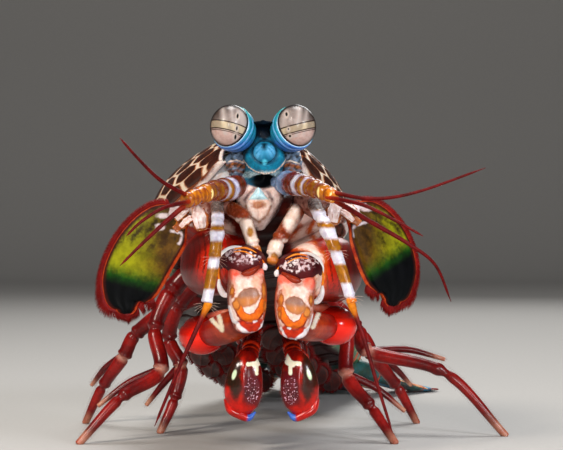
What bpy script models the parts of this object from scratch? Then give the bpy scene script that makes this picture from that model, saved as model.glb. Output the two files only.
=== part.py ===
"""Peacock mantis shrimp, life size, standing with its front half raised and its face along -Y.

Every piece is a closed solid of its own: a section carried along a path, with the pieces of one
node joined and each node cut back from what it grows from by a thin gap. Lengths in the tables are
millimetres on a floor at height 0, with the point midway between the eyes above X = 0, Y = 0.
The animal's right side is at -X. The blocks of rows read
(across, back, height, half width, reach above, reach below).
"""

import math

import bmesh
import bpy
import numpy as np

MM = 0.001
# Room between two nodes that meet.
GAP = 0.3
# Points nearer than this are one point: in a new skin, and after a skin has been cut.
MERGE_NEW = 0.001
MERGE_CUT = 0.004
SHARP_ANGLE = math.radians(40)
# Where the finished part's origin lies in the tables' frame: under the middle of its box.
ORIGIN = (4.44, 61.59, 0.0)

RIGHT, LEFT = -1, 1
UP = (0.0, 0.0, 1.0)
TOWARDS_FACE = (0.0, -1.0, 0.0)

EYE_SPACING = 10.9
EYE_HEIGHT = 55.8
EYE_HALF_WIDTH = 3.2
EYE_HALF_HEIGHT = 3.55
EYE_LOOK = (0.44, -0.82, 0.37)
SHELL_THICKNESS = 1.0
# How far the flesh stays behind the inside of the carapace.
SHELL_ROOM = 0.45
SCALE_HALF_THICKNESS = 0.55
FRINGE_HALF_THICKNESS = 0.28
LASH_ROOT = 0.5
LASH_TIP = 0.28
CLUB_HEEL = (4.0, 4.4, 3.4)
RAPTOR_MIDDLE = 1.3
HANDS_MIDDLE = 1.4
SOMITE_EDGES = (36.6, 43.2, 49.6, 56.0, 66.0, 77.0, 88.0, 99.0, 109.5, 118.0)
SOMITE_NAMES = (
    "thorax_6",
    "thorax_7",
    "thorax_8",
    "abdomen_1",
    "abdomen_2",
    "abdomen_3",
    "abdomen_4",
    "abdomen_5",
    "abdomen_6",
)
TRUNK_SIDES = 16
TRUNK_POWER = 2.4
TAIL_YAW = math.radians(18.0)

CARAPACE = (
    (-0.5, 5.9, 50.4, 6.2, 5.2, 0.8),
    (-1.0, 10.0, 47.6, 9.8, 7.8, 1.4),
    (-1.7, 16.0, 44.2, 14.0, 10.4, 2.0),
    (-2.4, 23.0, 41.6, 16.8, 12.2, 2.4),
    (-3.0, 30.0, 40.0, 17.3, 12.4, 2.6),
    (-3.6, 38.4, 38.2, 16.6, 11.2, 1.6),
)
CARAPACE_ARCH = 1.85
BODY = (
    (-3.5, 36.2, 39.2, 14.4, 8.6, 8.6),
    (-4.1, 46.0, 34.4, 14.6, 8.2, 7.6),
    (-4.4, 56.0, 29.2, 15.0, 8.0, 6.6),
    (-4.0, 66.0, 24.6, 15.6, 7.8, 6.0),
    (-2.7, 77.0, 20.6, 16.0, 7.6, 5.6),
    (-0.5, 88.0, 17.2, 16.0, 7.4, 5.2),
    (2.4, 99.0, 14.4, 15.8, 7.0, 4.8),
    (5.8, 109.5, 11.9, 15.0, 6.4, 4.4),
    (8.6, 118.0, 10.0, 12.8, 4.6, 3.4),
)

FINISHES = {
    "shell_olive": ((0.10, 0.16, 0.05), 0.35),
    "shell_spotted": ((0.55, 0.42, 0.30), 0.32),
    "head_blue": ((0.02, 0.22, 0.34), 0.30),
    "eye_glaze": ((0.62, 0.48, 0.42), 0.12),
    "limb_red": ((0.38, 0.03, 0.02), 0.30),
    "limb_banded": ((0.72, 0.50, 0.34), 0.30),
    "club_red": ((0.80, 0.06, 0.03), 0.15),
    "scale_gold": ((0.36, 0.30, 0.02), 0.35),
    "tail_blue": ((0.05, 0.20, 0.30), 0.35),
}


def unit(vectors):
    """The vectors at length 1."""
    vectors = np.asarray(vectors, float)
    return vectors / np.linalg.norm(vectors, axis=-1, keepdims=True)


def smooth_rows(rows, count):
    """As many rows, read at even steps from a smooth curve through the given ones."""
    rows = np.asarray(rows, float)
    padded = np.vstack([2 * rows[0] - rows[1], rows, 2 * rows[-1] - rows[-2]])
    place = np.linspace(0, len(rows) - 1, count)
    first = np.minimum(place.astype(int), len(rows) - 2)
    share = (place - first)[:, None]
    a, b, c, d = (padded[first + step] for step in range(4))
    return 0.5 * (
        2 * b
        + (c - a) * share
        + (2 * a - 5 * b + 4 * c - d) * share**2
        + (3 * b - a - 3 * c + d) * share**3
    )


def loft(centre, reach, tangent, sides, up, power, nose):
    """Closed skin over superellipse sections, each end a low cone of height nose times the section."""
    side = unit(np.cross(tangent, up))
    top = np.cross(side, tangent)
    angle = 2 * np.pi * np.arange(sides) / sides
    across, rise = np.cos(angle), np.sin(angle)
    across = np.sign(across) * np.abs(across) ** (2 / power)
    rise = np.sign(rise) * np.abs(rise) ** (2 / power)
    height = np.where(rise > 0, reach[:, 1:2], reach[:, 2:3]) * rise
    ring = centre[:, None] + side[:, None] * (reach[:, :1] * across)[..., None]
    ring = ring + top[:, None] * height[..., None]
    tip = nose * reach[[0, -1]].min(axis=1)
    poles = centre[[0, -1]] + tangent[[0, -1]] * (tip * [-1, 1])[:, None]
    points = np.vstack([ring.reshape(-1, 3), poles])
    rings = len(centre)
    faces = []
    for j in range(sides):
        k = (j + 1) % sides
        for i in range(rings - 1):
            low, high = i * sides, (i + 1) * sides
            faces.append((low + j, low + k, high + k, high + j))
        faces.append((rings * sides, k, j))
        last = (rings - 1) * sides
        faces.append((rings * sides + 1, last + j, last + k))
    return points, faces


def tube(rows, rings=8, sides=8, up=UP, power=2.0, nose=0.45):
    """A limb or lump: a function of how much it is to be swollen that gives its points and faces."""

    def made(grow=0.0):
        table = smooth_rows(rows, rings)
        centre, reach = table[:, :3].copy(), table[:, 3:] + grow
        tangent = unit(np.gradient(centre, axis=0))
        centre[0] -= tangent[0] * grow
        centre[-1] += tangent[-1] * grow
        return loft(centre, reach, tangent, sides, up, power, nose)

    return made


def ball(centre, semi, rings=7, sides=10):
    """An ellipsoid turned about its back-to-front axis."""
    share = np.sin(np.linspace(-0.46, 0.46, rings) * np.pi)
    girth = np.sqrt(1 - share**2)
    rows = [
        (
            centre[0],
            centre[1] + semi[1] * s,
            centre[2],
            semi[0] * g,
            semi[2] * g,
            semi[2] * g,
        )
        for s, g in zip(share, girth)
    ]
    return tube(rows, rings, sides, nose=0.06)


def shell(rows, rings, columns, power):
    """A curved plate with free side edges: an arch over each row that ends in a short straight drop."""

    def skin(table, inset):
        angle = np.linspace(0, np.pi, columns)
        across = np.sign(np.cos(angle)) * np.abs(np.cos(angle)) ** (2 / power)
        rise = np.sin(angle) ** (2 / power)
        wide, tall, drop = (
            table[:, 3:4] - inset,
            table[:, 4:5] - inset,
            table[:, 5:6],
        )
        x = np.hstack([wide, wide * across, -wide])
        z = np.hstack([-drop, tall * rise, -drop])
        centre = table[:, None, :3]
        return centre + np.stack([x, np.zeros_like(x), z], axis=-1)

    def made(grow=0.0):
        table = smooth_rows(rows, rings)
        table[0, 1] -= grow
        table[-1, 1] += grow
        table[:, 5] += grow
        outer, inner = skin(table, -grow), skin(table, SHELL_THICKNESS + grow)
        across = columns + 2
        points = np.vstack([outer.reshape(-1, 3), inner.reshape(-1, 3)])
        far = rings * across
        faces = []
        for i in range(rings - 1):
            for j in range(across - 1):
                a, b = i * across + j, i * across + j + 1
                c, d = b + across, a + across
                faces += [(a, b, c, d), (far + d, far + c, far + b, far + a)]
            left, right = i * across, i * across + across - 1
            faces.append((left, left + across, far + left + across, far + left))
            faces.append((right, far + right, far + right + across, right + across))
        last = (rings - 1) * across
        for j in range(across - 1):
            faces.append((j, far + j, far + j + 1, j + 1))
            k = last + j
            faces.append((k, k + 1, far + k + 1, far + k))
        return points, faces

    return made


def finish_of(name):
    """The material of that name, made once."""
    material = bpy.data.materials.get(name)
    if material is None:
        colour, roughness = FINISHES[name]
        material = bpy.data.materials.new(name)
        material.use_nodes = True
        surface = material.node_tree.nodes["Principled BSDF"]
        surface.inputs["Base Color"].default_value = (*colour, 1.0)
        surface.inputs["Roughness"].default_value = roughness
        surface.inputs["Metallic"].default_value = 0.0
    return material


def largest_surface(mesh):
    """Keeps the closed surface with the most room in it, and drops the rest."""
    bm = bmesh.new()
    bm.from_mesh(mesh)
    bmesh.ops.triangulate(bm, faces=bm.faces)
    bmesh.ops.remove_doubles(bm, verts=bm.verts, dist=MERGE_CUT)
    left, groups = set(bm.faces), []
    while left:
        group, edge = set(), [left.pop()]
        while edge:
            face = edge.pop()
            group.add(face)
            for side in face.edges:
                for other in side.link_faces:
                    if other in left:
                        left.remove(other)
                        edge.append(other)
        groups.append(group)

    def room(group):
        corners = [[corner.co for corner in face.verts] for face in group]
        return abs(sum(a.dot(b.cross(c)) for a, b, c in corners))

    groups.sort(key=room)
    scraps = [face for group in groups[:-1] for face in group]
    bmesh.ops.delete(bm, geom=scraps, context="FACES")
    loose = [v for v in bm.verts if not v.link_faces]
    bmesh.ops.delete(bm, geom=loose, context="VERTS")
    bm.to_mesh(mesh)
    bm.free()


def plain_object(name, made, grow=0.0):
    """A mesh object in the tables' millimetres, nothing of it below the floor, faces pointing out."""
    points, faces = made(grow)
    if not grow:
        points[:, 2] = np.maximum(points[:, 2], 0.0)
    mesh = bpy.data.meshes.new(name)
    mesh.from_pydata(points.tolist(), [], faces)
    bm = bmesh.new()
    bm.from_mesh(mesh)
    bmesh.ops.remove_doubles(bm, verts=bm.verts, dist=MERGE_NEW)
    bmesh.ops.recalc_face_normals(bm, faces=bm.faces)
    bm.to_mesh(mesh)
    bm.free()
    return bpy.data.objects.new(name, mesh)


def with_others(body, others, operation):
    """The body joined with the others, or cut by them, as one mesh. The others are removed."""
    group = bpy.data.collections.new(operation)
    bpy.context.scene.collection.children.link(group)
    for other in others:
        group.objects.link(other)
    change = body.modifiers.new(operation, "BOOLEAN")
    change.operation = operation
    change.operand_type = "COLLECTION"
    change.collection = group
    change.solver = "EXACT"
    graph = bpy.context.evaluated_depsgraph_get()
    changed = bpy.data.meshes.new_from_object(body.evaluated_get(graph))
    body.modifiers.clear()
    body.data = changed
    for other in others:
        bpy.data.objects.remove(other)
    bpy.data.collections.remove(group)


SHAPES = {}


def node(name, shapes, finish, clear_of=()):
    """One named object: its shapes joined, then cut back from its neighbours, then set in metres."""
    SHAPES[name] = shapes
    body = plain_object(name, shapes[0])
    bpy.context.scene.collection.objects.link(body)
    more = [plain_object(name + "_piece", made) for made in shapes[1:]]
    if more:
        with_others(body, more, "UNION")
    cutters = [
        plain_object(other + "_clear", made, GAP)
        for other in clear_of
        for made in SHAPES[other]
    ]
    if cutters:
        with_others(body, cutters, "DIFFERENCE")
    largest_surface(body.data)
    points = np.zeros(len(body.data.vertices) * 3)
    body.data.vertices.foreach_get("co", points)
    points = (points.reshape(-1, 3) - ORIGIN) * MM
    body.data.vertices.foreach_set("co", points.ravel())
    body.data.name = name
    body.data.materials.clear()
    body.data.materials.append(finish_of(finish))
    body.data.shade_smooth()
    body.data.set_sharp_from_angle(angle=SHARP_ANGLE)
    return body


def mirrored(rows, side, middle=0.0, lift=0.0):
    """Rows given by distance from a middle plane, placed on one side of it and lifted."""
    rows = np.array(rows, float)
    rows[:, 0] = middle + side * rows[:, 0]
    rows[:, 2] += lift
    return rows


def body_path(back):
    """Centre, reach and direction of the trunk at that distance back."""
    samples = 240
    dense = smooth_rows(BODY, samples)
    along = unit(np.gradient(dense[:, :3], axis=0))
    centre = np.array([np.interp(back, dense[:, 1], dense[:, k]) for k in range(3)])
    reach = np.array([np.interp(back, dense[:, 1], dense[:, k]) for k in (3, 4, 5)])
    tangent = np.array([np.interp(back, dense[:, 1], along[:, k]) for k in range(3)])
    return centre.T, reach.T, unit(tangent.T)


def somite(front, rear):
    """A trunk ring: narrow where it slips under the ring in front, widest before its rear edge."""

    def made(grow=0.0):
        share = np.array([0.0, 0.1, 0.5, 0.88, 1.0])
        swell = np.array([0.92, 0.96, 1.0, 1.025, 0.98])[:, None]
        ends = front + GAP / 2 - grow, rear - GAP / 2 + grow
        back = ends[0] + (ends[1] - ends[0]) * share
        centre, reach, tangent = body_path(back)
        return loft(centre, reach * swell + grow, tangent, TRUNK_SIDES, UP, TRUNK_POWER, 0.0)

    return made


def pleopod(centre, belly, side):
    """Swimming leg under one ring: a short stem with an outer and an inner paddle, laid back."""
    x, y, z = centre[0], centre[1] - 2.0, centre[2] - belly
    stem = ((8.0, 0.0, 2.0, 1.5, 1.5, 1.5), (8.4, 1.0, -2.2, 1.2, 1.2, 1.2))
    outer = (
        (8.6, 1.0, -1.6, 1.1, 0.8, 0.8),
        (9.9, 4.0, -3.8, 2.5, 0.5, 0.5),
        (10.2, 7.0, -6.0, 1.4, 0.35, 0.35),
    )
    inner = (
        (7.8, 1.0, -1.6, 1.1, 0.8, 0.8),
        (5.5, 3.6, -3.8, 2.2, 0.5, 0.5),
        (4.8, 6.4, -5.8, 1.2, 0.35, 0.35),
    )
    pieces = []
    for rows, rings in ((stem, 2), (outer, 4), (inner, 4)):
        placed = mirrored(rows, side) + (x, y, z, 0, 0, 0)
        pieces.append(tube(placed, rings, 5, TOWARDS_FACE))
    return pieces


def in_tail(rows):
    """Rows given across and along the tail fan, turned to the way that the fan points."""
    centre, _, _ = body_path(SOMITE_EDGES[-1])
    rows = np.array(rows, float)
    across, along = rows[:, 0].copy(), rows[:, 1].copy()
    rows[:, 0] = centre[0] + across * math.cos(TAIL_YAW) + along * math.sin(TAIL_YAW)
    rows[:, 1] = centre[1] - across * math.sin(TAIL_YAW) + along * math.cos(TAIL_YAW)
    return rows


def trunk():
    """Carapace, the body under it, and the rings of thorax and abdomen."""
    for name, front, rear in zip(SOMITE_NAMES, SOMITE_EDGES, SOMITE_EDGES[1:]):
        pieces = [somite(front, rear)]
        if name in SOMITE_NAMES[3:8]:
            centre, reach, _ = body_path((front + rear) / 2)
            for side in (RIGHT, LEFT):
                pieces += pleopod(centre, reach[2], side)
        node(name, pieces, "shell_olive")
    core = smooth_rows(CARAPACE, 21)
    core = core[core[:, 1] > 8.0]
    core[:, 3:5] -= SHELL_THICKNESS + SHELL_ROOM
    core[:, 4] -= np.interp(core[:, 1], (30, 38), (0.0, 1.7))
    core[:, 5] = np.interp(core[:, 1], (8, 16, 30, 38), (6.2, 7.4, 9.4, 9.0))
    core = np.vstack([core, core[-1] + (-0.3, 2.2, -1.4, -3.2, -2.4, -2.4)])
    node("carapace", [shell(CARAPACE, 8, 13, CARAPACE_ARCH)], "shell_spotted")
    node(
        "front_thorax",
        [tube(core, 8, 14, power=CARAPACE_ARCH, nose=0.0)],
        "limb_red",
        clear_of=("head", "carapace", SOMITE_NAMES[0]),
    )
    plate = (
        (0.0, -0.4, 56.4, 1.5, 0.35, 0.35),
        (0.0, 0.8, 56.4, 2.1, 0.45, 0.45),
        (-0.2, 3.2, 55.9, 3.6, 0.55, 0.55),
        (-0.5, 5.4, 55.0, 4.6, 0.6, 0.6),
    )
    node(
        "rostral_plate",
        [tube(plate, 6, 10)],
        "shell_olive",
        clear_of=("head", "carapace", "eyestalk_right", "eyestalk_left"),
    )


def tail():
    """Telson with its carinae and marginal teeth, and the two uropods."""
    plate = (
        (0.0, 0.5, 9.6, 11.3, 3.2, 2.4),
        (0.0, 6.0, 7.0, 12.2, 3.4, 2.2),
        (0.0, 12.0, 4.4, 11.4, 2.8, 1.9),
        (0.0, 17.0, 2.2, 9.4, 2.1, 1.4),
        (0.0, 20.5, 0.8, 6.4, 1.3, 1.0),
    )
    pieces = [tube(in_tail(plate), 6, 12, power=TRUNK_POWER, nose=0.2)]
    keel = (
        (0.0, 2.0, 11.5, 0.5, 0.9, 0.9),
        (0.0, 9.0, 8.6, 0.9, 1.1, 1.1),
        (0.0, 18.5, 3.6, 0.3, 0.5, 0.5),
    )
    pieces.append(tube(in_tail(keel), 4, 5))
    teeth = (
        ((4.0, 17.5, 1.9), (4.5, 24.2, 0.3)),
        ((8.0, 15.0, 2.8), (9.8, 21.4, 0.4)),
        ((10.2, 9.0, 5.0), (13.0, 16.2, 1.8)),
    )
    ridge = (
        (5.0, 3.0, 10.8, 0.4, 0.7, 0.7),
        (5.4, 9.0, 8.2, 0.7, 0.9, 0.9),
        (4.6, 17.5, 3.4, 0.3, 0.5, 0.5),
    )
    for side in (RIGHT, LEFT):
        for root, tip in teeth:
            middle = tuple((a + b) / 2 for a, b in zip(root, tip))
            rows = (
                (*root, 1.5, 1.1, 1.1),
                (*middle, 1.0, 0.8, 0.8),
                (*tip, 0.25, 0.25, 0.25),
            )
            pieces.append(tube(in_tail(mirrored(rows, side)), 4, 5))
        pieces.append(tube(in_tail(mirrored(ridge, side)), 4, 5))
    node("telson", pieces, "tail_blue", clear_of=("abdomen_6",))
    for side, word in ((RIGHT, "right"), (LEFT, "left")):
        node(
            "uropod_" + word,
            uropod(side),
            "tail_blue",
            clear_of=("abdomen_6", "telson"),
        )


def uropod(side):
    """Stem, two long ventral spines, two-piece outer blade with its edge spines, and inner blade."""
    stem = (
        (10.4, -3.0, 7.8, 2.2, 2.0, 2.0),
        (13.6, 1.6, 6.2, 2.4, 2.0, 2.0),
        (15.0, 5.6, 4.4, 1.8, 1.5, 1.5),
    )
    outer = (
        (15.6, 5.0, 4.4, 1.4, 0.9, 0.9),
        (18.8, 10.0, 3.0, 2.6, 0.9, 0.9),
        (20.8, 15.8, 1.5, 2.3, 0.7, 0.7),
        (21.8, 20.5, 0.7, 3.0, 0.55, 0.55),
        (21.9, 25.4, 0.4, 1.5, 0.45, 0.45),
    )
    inner = (
        (14.4, 5.0, 4.2, 1.2, 0.8, 0.8),
        (16.4, 12.5, 2.2, 2.1, 0.6, 0.6),
        (17.2, 20.5, 0.5, 1.2, 0.45, 0.45),
    )
    spine = (
        (13.6, 4.0, 4.0, 1.2, 0.9, 0.9),
        (13.4, 10.0, 2.0, 0.9, 0.7, 0.7),
        (13.8, 17.0, 0.4, 0.25, 0.25, 0.25),
    )
    pieces = [tube(in_tail(mirrored(stem, side)), 4, 8)]
    for rows, rings in ((outer, 7), (inner, 5), (spine, 4)):
        pieces.append(tube(in_tail(mirrored(rows, side)), rings, 6, power=2.3))
    edge_spines = 6
    for k in range(edge_spines):
        share = k / (edge_spines - 1)
        root = np.array([18.8 + 3.0 * share, 7.8 + 8.2 * share, 3.6 - 2.1 * share])
        tip = root + (2.7, 1.9, -0.6)
        rows = ((*root, 0.7, 0.5, 0.5), (*tip, 0.2, 0.2, 0.2))
        pieces.append(tube(in_tail(mirrored(rows, side)), 2, 4))
    return pieces


def eye_place(side):
    """Centre of an eye, the way it looks, and the way that its upright axis leans."""
    centre = np.array([side * EYE_SPACING / 2, 0.0, EYE_HEIGHT])
    look = unit(np.array(EYE_LOOK) * (side, 1, 1))
    return centre, look, (-0.14 * side, 0.0, 0.99)


def head():
    """Front of the head, with the boss between the eyes and the mouth below, and the stalked eyes."""
    brow = (
        (0.1, -0.6, 50.6, 2.0, 1.8, 1.6),
        (0.1, 0.6, 50.4, 3.8, 2.8, 2.2),
        (0.0, 3.0, 50.2, 4.6, 3.2, 2.4),
        (-0.3, 6.4, 49.6, 4.5, 3.4, 3.4),
        (-0.5, 8.8, 49.0, 4.2, 3.0, 4.0),
    )
    mouth = (
        (-0.5, 9.0, 43.6, 4.4, 4.4, 5.0),
        (-0.3, 6.4, 42.8, 4.2, 3.4, 4.6),
        (-0.2, 4.2, 42.2, 3.4, 2.8, 3.6),
        (-0.1, 2.6, 42.0, 1.9, 1.9, 2.2),
    )
    node(
        "head",
        [
            tube(brow, 6, 10, power=2.2),
            ball((0.0, 3.0, 53.4), (2.6, 2.1, 2.8), 6, 8),
            ball((0.1, -0.9, 51.3), (1.7, 1.2, 1.6), 5, 8),
            tube(mouth, 5, 10),
        ],
        "head_blue",
    )
    for side, word in ((RIGHT, "right"), (LEFT, "left")):
        centre, look, lean = eye_place(side)
        base = np.array([side * 1.9, 4.2, 52.8])
        cup = (
            (*base, 1.5, 1.5, 1.5),
            (*(centre - look * 3.8), 2.1, 2.3, 2.3),
            (*(centre - look * 2.2), 3.0, 3.2, 3.2),
            (*(centre - look * 0.55), 3.45, 3.75, 3.75),
        )
        node(
            "eyestalk_" + word,
            [tube(cup, 5, 12, lean, nose=0.0)],
            "head_blue",
            clear_of=("head",),
        )
        half = np.array([EYE_HALF_WIDTH, EYE_HALF_HEIGHT, EYE_HALF_HEIGHT])
        stations = ((-0.2, 0.97), (0.7, 1.0), (1.6, 0.92), (2.4, 0.73), (3.0, 0.40))
        glaze = [(*(centre + look * out), *(half * size)) for out, size in stations]
        node(
            "eye_" + word,
            [tube(glaze, 7, 12, lean, nose=0.15)],
            "eye_glaze",
            clear_of=("eyestalk_" + word,),
        )


ANTENNULES = {
    "right": {
        "stem": (
            (-3.6, 4.4, 46.4, 1.7, 1.7, 1.7),
            (-5.8, 0.0, 45.4, 1.9, 1.9, 1.9),
            (-7.6, -5.0, 45.1, 1.7, 1.7, 1.7),
            (-9.8, -10.0, 44.3, 1.4, 1.4, 1.4),
            (-11.9, -13.5, 43.4, 1.1, 1.2, 1.2),
        ),
        "flagella": (
            ((-11.7, -13.2, 44.1), (-15.5, -19.0, 46.3), (-18.6, -23.0, 49.4), (-21.3, -26.0, 52.6)),
            ((-12.2, -13.2, 42.6), (-15.5, -15.6, 39.6), (-18.6, -17.2, 36.6), (-22.0, -18.0, 33.2)),
            ((-11.4, -13.8, 43.2), (-15.0, -19.6, 42.2), (-18.4, -22.0, 40.0), (-20.6, -23.2, 37.8)),
        ),
    },
    "left": {
        "stem": (
            (2.6, 4.4, 46.6, 1.7, 1.7, 1.7),
            (5.0, -1.0, 46.3, 1.9, 1.9, 1.9),
            (7.6, -6.5, 45.6, 1.6, 1.6, 1.6),
            (9.6, -10.5, 44.8, 1.3, 1.3, 1.3),
            (11.2, -13.5, 44.0, 1.1, 1.2, 1.2),
        ),
        "flagella": (
            ((11.0, -13.2, 44.7), (17.0, -17.0, 43.6), (24.0, -18.5, 44.6), (34.5, -19.5, 48.3)),
            (
                (11.6, -13.2, 43.3),
                (17.0, -15.4, 40.0),
                (22.8, -16.0, 36.6),
                (27.2, -14.4, 33.2),
                (29.9, -12.0, 27.4),
            ),
            ((10.6, -13.8, 43.8), (15.6, -19.6, 42.6), (20.4, -22.0, 40.2), (24.6, -23.2, 37.8)),
        ),
    },
}
FLAGELLUM_NAMES = ("upper", "lower", "middle")

ANTENNAE = {
    "right": {
        "base": (
            (-6.4, 6.5, 44.6, 2.4, 2.2, 2.4),
            (-9.6, 3.6, 42.4, 2.8, 2.2, 2.8),
            (-12.6, 2.4, 41.2, 1.8, 1.8, 2.0),
        ),
        "scale": (
            (-13.4, 2.6, 41.2, 2.2),
            (-15.0, 2.6, 38.6, 5.0),
            (-17.4, 2.4, 34.0, 6.5),
            (-19.8, 2.8, 29.2, 6.3),
            (-21.4, 3.2, 26.0, 4.4),
            (-22.2, 3.4, 24.4, 2.0),
        ),
        "scale_faces": (-0.10, -1.0, 0.12),
        "stem": (
            (-7.7, 3.4, 43.0, 1.2, 1.2, 1.2),
            (-7.4, -2.0, 41.0, 1.0, 1.0, 1.0),
            (-7.4, -6.0, 37.6, 1.0, 1.0, 1.0),
            (-7.9, -8.0, 33.0, 0.85, 0.85, 0.85),
            (-8.9, -9.0, 27.2, 0.8, 0.8, 0.8),
        ),
        "lash": ((-8.9, -9.0, 26.4), (-11.0, -9.8, 21.8), (-13.6, -10.0, 16.0), (-17.2, -10.0, 7.4)),
    },
    "left": {
        "base": (
            (6.6, 6.5, 44.8, 2.4, 2.2, 2.4),
            (10.0, 3.6, 42.8, 2.8, 2.2, 2.8),
            (13.4, 2.4, 41.6, 1.8, 1.8, 2.0),
        ),
        "scale": (
            (14.6, 2.6, 41.8, 2.2),
            (16.2, 2.8, 39.2, 5.0),
            (18.4, 3.6, 34.6, 6.5),
            (20.2, 4.6, 29.8, 6.3),
            (21.2, 5.2, 26.6, 4.4),
            (21.6, 5.4, 25.0, 2.0),
        ),
        "scale_faces": (0.60, -0.79, 0.12),
        "stem": (
            (8.4, 3.4, 43.4, 1.2, 1.2, 1.2),
            (9.2, -2.0, 41.3, 1.0, 1.0, 1.0),
            (10.9, -6.0, 37.7, 1.0, 1.0, 1.0),
            (12.5, -8.0, 33.0, 0.85, 0.85, 0.85),
            (14.3, -9.0, 27.2, 0.8, 0.8, 0.8),
        ),
        "lash": ((14.4, -9.0, 26.4), (16.2, -9.6, 21.4), (18.2, -10.0, 14.5), (20.7, -10.0, 6.5)),
    },
}


def lash(points, thick, thin, rings=12, sides=6):
    """A long feeler that tapers evenly from root to tip."""
    rows = smooth_rows(points, rings)
    radius = np.linspace(thick, thin, rings)[:, None]
    return tube(np.hstack([rows, radius, radius, radius]), rings, sides, up=(0.3, 0.2, 1.0))


def feelers():
    """The two antennules with three lashes each, and the two antennae with their leaf-shaped scales."""
    for word, sizes in ANTENNAE.items():
        node(
            "antenna_base_" + word,
            [tube(sizes["base"], 6, 10)],
            "limb_banded",
            clear_of=("head", "carapace", "front_thorax"),
        )
        scale = np.array(sizes["scale"], float)
        flat = np.ones((len(scale), 1))
        blade = np.hstack([scale, SCALE_HALF_THICKNESS * flat, SCALE_HALF_THICKNESS * flat])
        fringe = np.hstack([scale, FRINGE_HALF_THICKNESS * flat, FRINGE_HALF_THICKNESS * flat])
        fringe[:, 3] += (0.4, 1.2, 1.6, 1.7, 1.8, 1.4)
        fringe[-2:, :3] += unit(fringe[-1, :3] - fringe[-2, :3]) * [[0.8], [1.8]]
        node(
            "antennal_scale_" + word,
            [
                tube(blade, 8, 6, sizes["scale_faces"], 2.2),
                tube(fringe, 11, 6, sizes["scale_faces"], 2.2, nose=0.5),
            ],
            "scale_gold",
            clear_of=("antenna_base_" + word,),
        )
        node(
            "antennule_" + word,
            [tube(ANTENNULES[word]["stem"], 9, 10)],
            "limb_banded",
            clear_of=("head", "antenna_base_" + word),
        )
        for part, points in zip(FLAGELLUM_NAMES, ANTENNULES[word]["flagella"]):
            node(
                f"antennule_lash_{part}_{word}",
                [lash(points, LASH_ROOT, LASH_TIP)],
                "limb_red",
                clear_of=("antennule_" + word,),
            )
        node(
            "antenna_" + word,
            [tube(sizes["stem"], 10, 8)],
            "limb_banded",
            clear_of=("head", "antenna_base_" + word, "antennule_" + word),
        )
        node(
            "antenna_lash_" + word,
            [lash(sizes["lash"], LASH_ROOT, LASH_TIP)],
            "limb_red",
            clear_of=("antenna_" + word,),
        )


def raptorial(side, word, lift, splay, heel_lift):
    """The folded striking limb: deep merus, short carpus, propodus folded back, dactyl with its club."""
    merus = (
        (10.4, 27.5, 32.4, 2.4, 3.0, 3.0),
        (11.4, 22.0, 31.8, 3.8, 5.0, 4.6),
        (11.2, 14.0, 31.6, 4.5, 6.2, 4.9),
        (8.8, 7.0, 31.8, 4.5, 6.0, 4.8),
        (5.8, 1.2, 32.0, 4.2, 4.8, 4.4),
        (4.6, -2.6, 31.8, 3.5, 3.4, 3.4),
    )
    carpus = (
        (4.1, -1.8, 30.6, 2.8, 2.4, 2.4),
        (3.9, -4.2, 28.6, 3.2, 2.7, 2.7),
        (3.8, -5.0, 25.4, 3.1, 2.7, 2.7),
        (3.7, -4.4, 22.6, 2.4, 2.3, 2.3),
    )
    propodus = (
        (3.8, -4.0, 23.0, 1.9, 1.6, 1.6),
        (4.6, -1.6, 23.0, 2.6, 2.2, 2.2),
        (6.4, 2.4, 22.4, 2.8, 2.3, 2.6),
        (8.4, 6.4, 21.6, 2.7, 2.2, 2.6),
        (10.2, 10.0, 21.0, 2.3, 1.8, 2.2),
    )
    blade = (
        (9.8, 12.4, 23.6, 1.4, 1.0, 1.2),
        (7.0, 8.6, 24.4, 1.1, 0.8, 0.8),
        (4.6, 4.4, 24.8, 0.8, 0.6, 0.6),
        (3.4, 1.4, 25.2, 0.4, 0.3, 0.3),
    )
    heel = ((11.6, 12.6, 20.6),)
    fold_front, fold_length = -4.0, 16.0

    def folded(rows):
        """Rows on this limb's side, those further back spread and lifted by this limb's own amounts."""
        rows = np.array(rows, float)
        far = np.clip((rows[:, 1] - fold_front) / fold_length, 0.0, 1.0)
        rows[:, 0] += splay * far
        rows[:, 2] += lift + (heel_lift - lift) * far
        return mirrored(rows, side, RAPTOR_MIDDLE)

    node(
        "raptor_merus_" + word,
        [tube(mirrored(merus, side, RAPTOR_MIDDLE, lift), 9, 12)],
        "limb_red",
        clear_of=("front_thorax",),
    )
    node(
        "raptor_carpus_" + word,
        [tube(mirrored(carpus, side, RAPTOR_MIDDLE, lift), 7, 12, TOWARDS_FACE)],
        "limb_banded",
        clear_of=("raptor_merus_" + word,),
    )
    node(
        "raptor_propodus_" + word,
        [tube(folded(propodus), 8, 10)],
        "limb_banded",
        clear_of=("raptor_carpus_" + word, "raptor_merus_" + word),
    )
    node(
        "raptor_dactyl_" + word,
        [ball(folded(heel)[0], CLUB_HEEL, 8, 12), tube(folded(blade), 5, 6)],
        "club_red",
        clear_of=tuple(f"raptor_{part}_{word}" for part in ("propodus", "merus", "carpus")),
    )


MAXILLIPED_1 = {
    "right": (
        (-5.6, 7.0, 42.4, 1.2, 1.2, 1.2),
        (-4.6, 2.4, 41.8, 1.3, 1.3, 1.3),
        (-3.0, 0.0, 40.4, 1.2, 1.2, 1.2),
        (-1.9, -1.4, 37.2, 1.3, 1.1, 1.1),
        (-0.8, -2.0, 33.8, 1.0, 0.9, 0.9),
    ),
    "left": (
        (6.2, 7.0, 42.8, 1.2, 1.2, 1.2),
        (5.2, 3.4, 41.0, 1.3, 1.3, 1.3),
        (3.4, 0.4, 38.2, 1.2, 1.2, 1.2),
        (2.1, -1.2, 36.0, 1.3, 1.1, 1.1),
        (1.6, -2.2, 33.4, 1.0, 0.9, 0.9),
    ),
}
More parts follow.
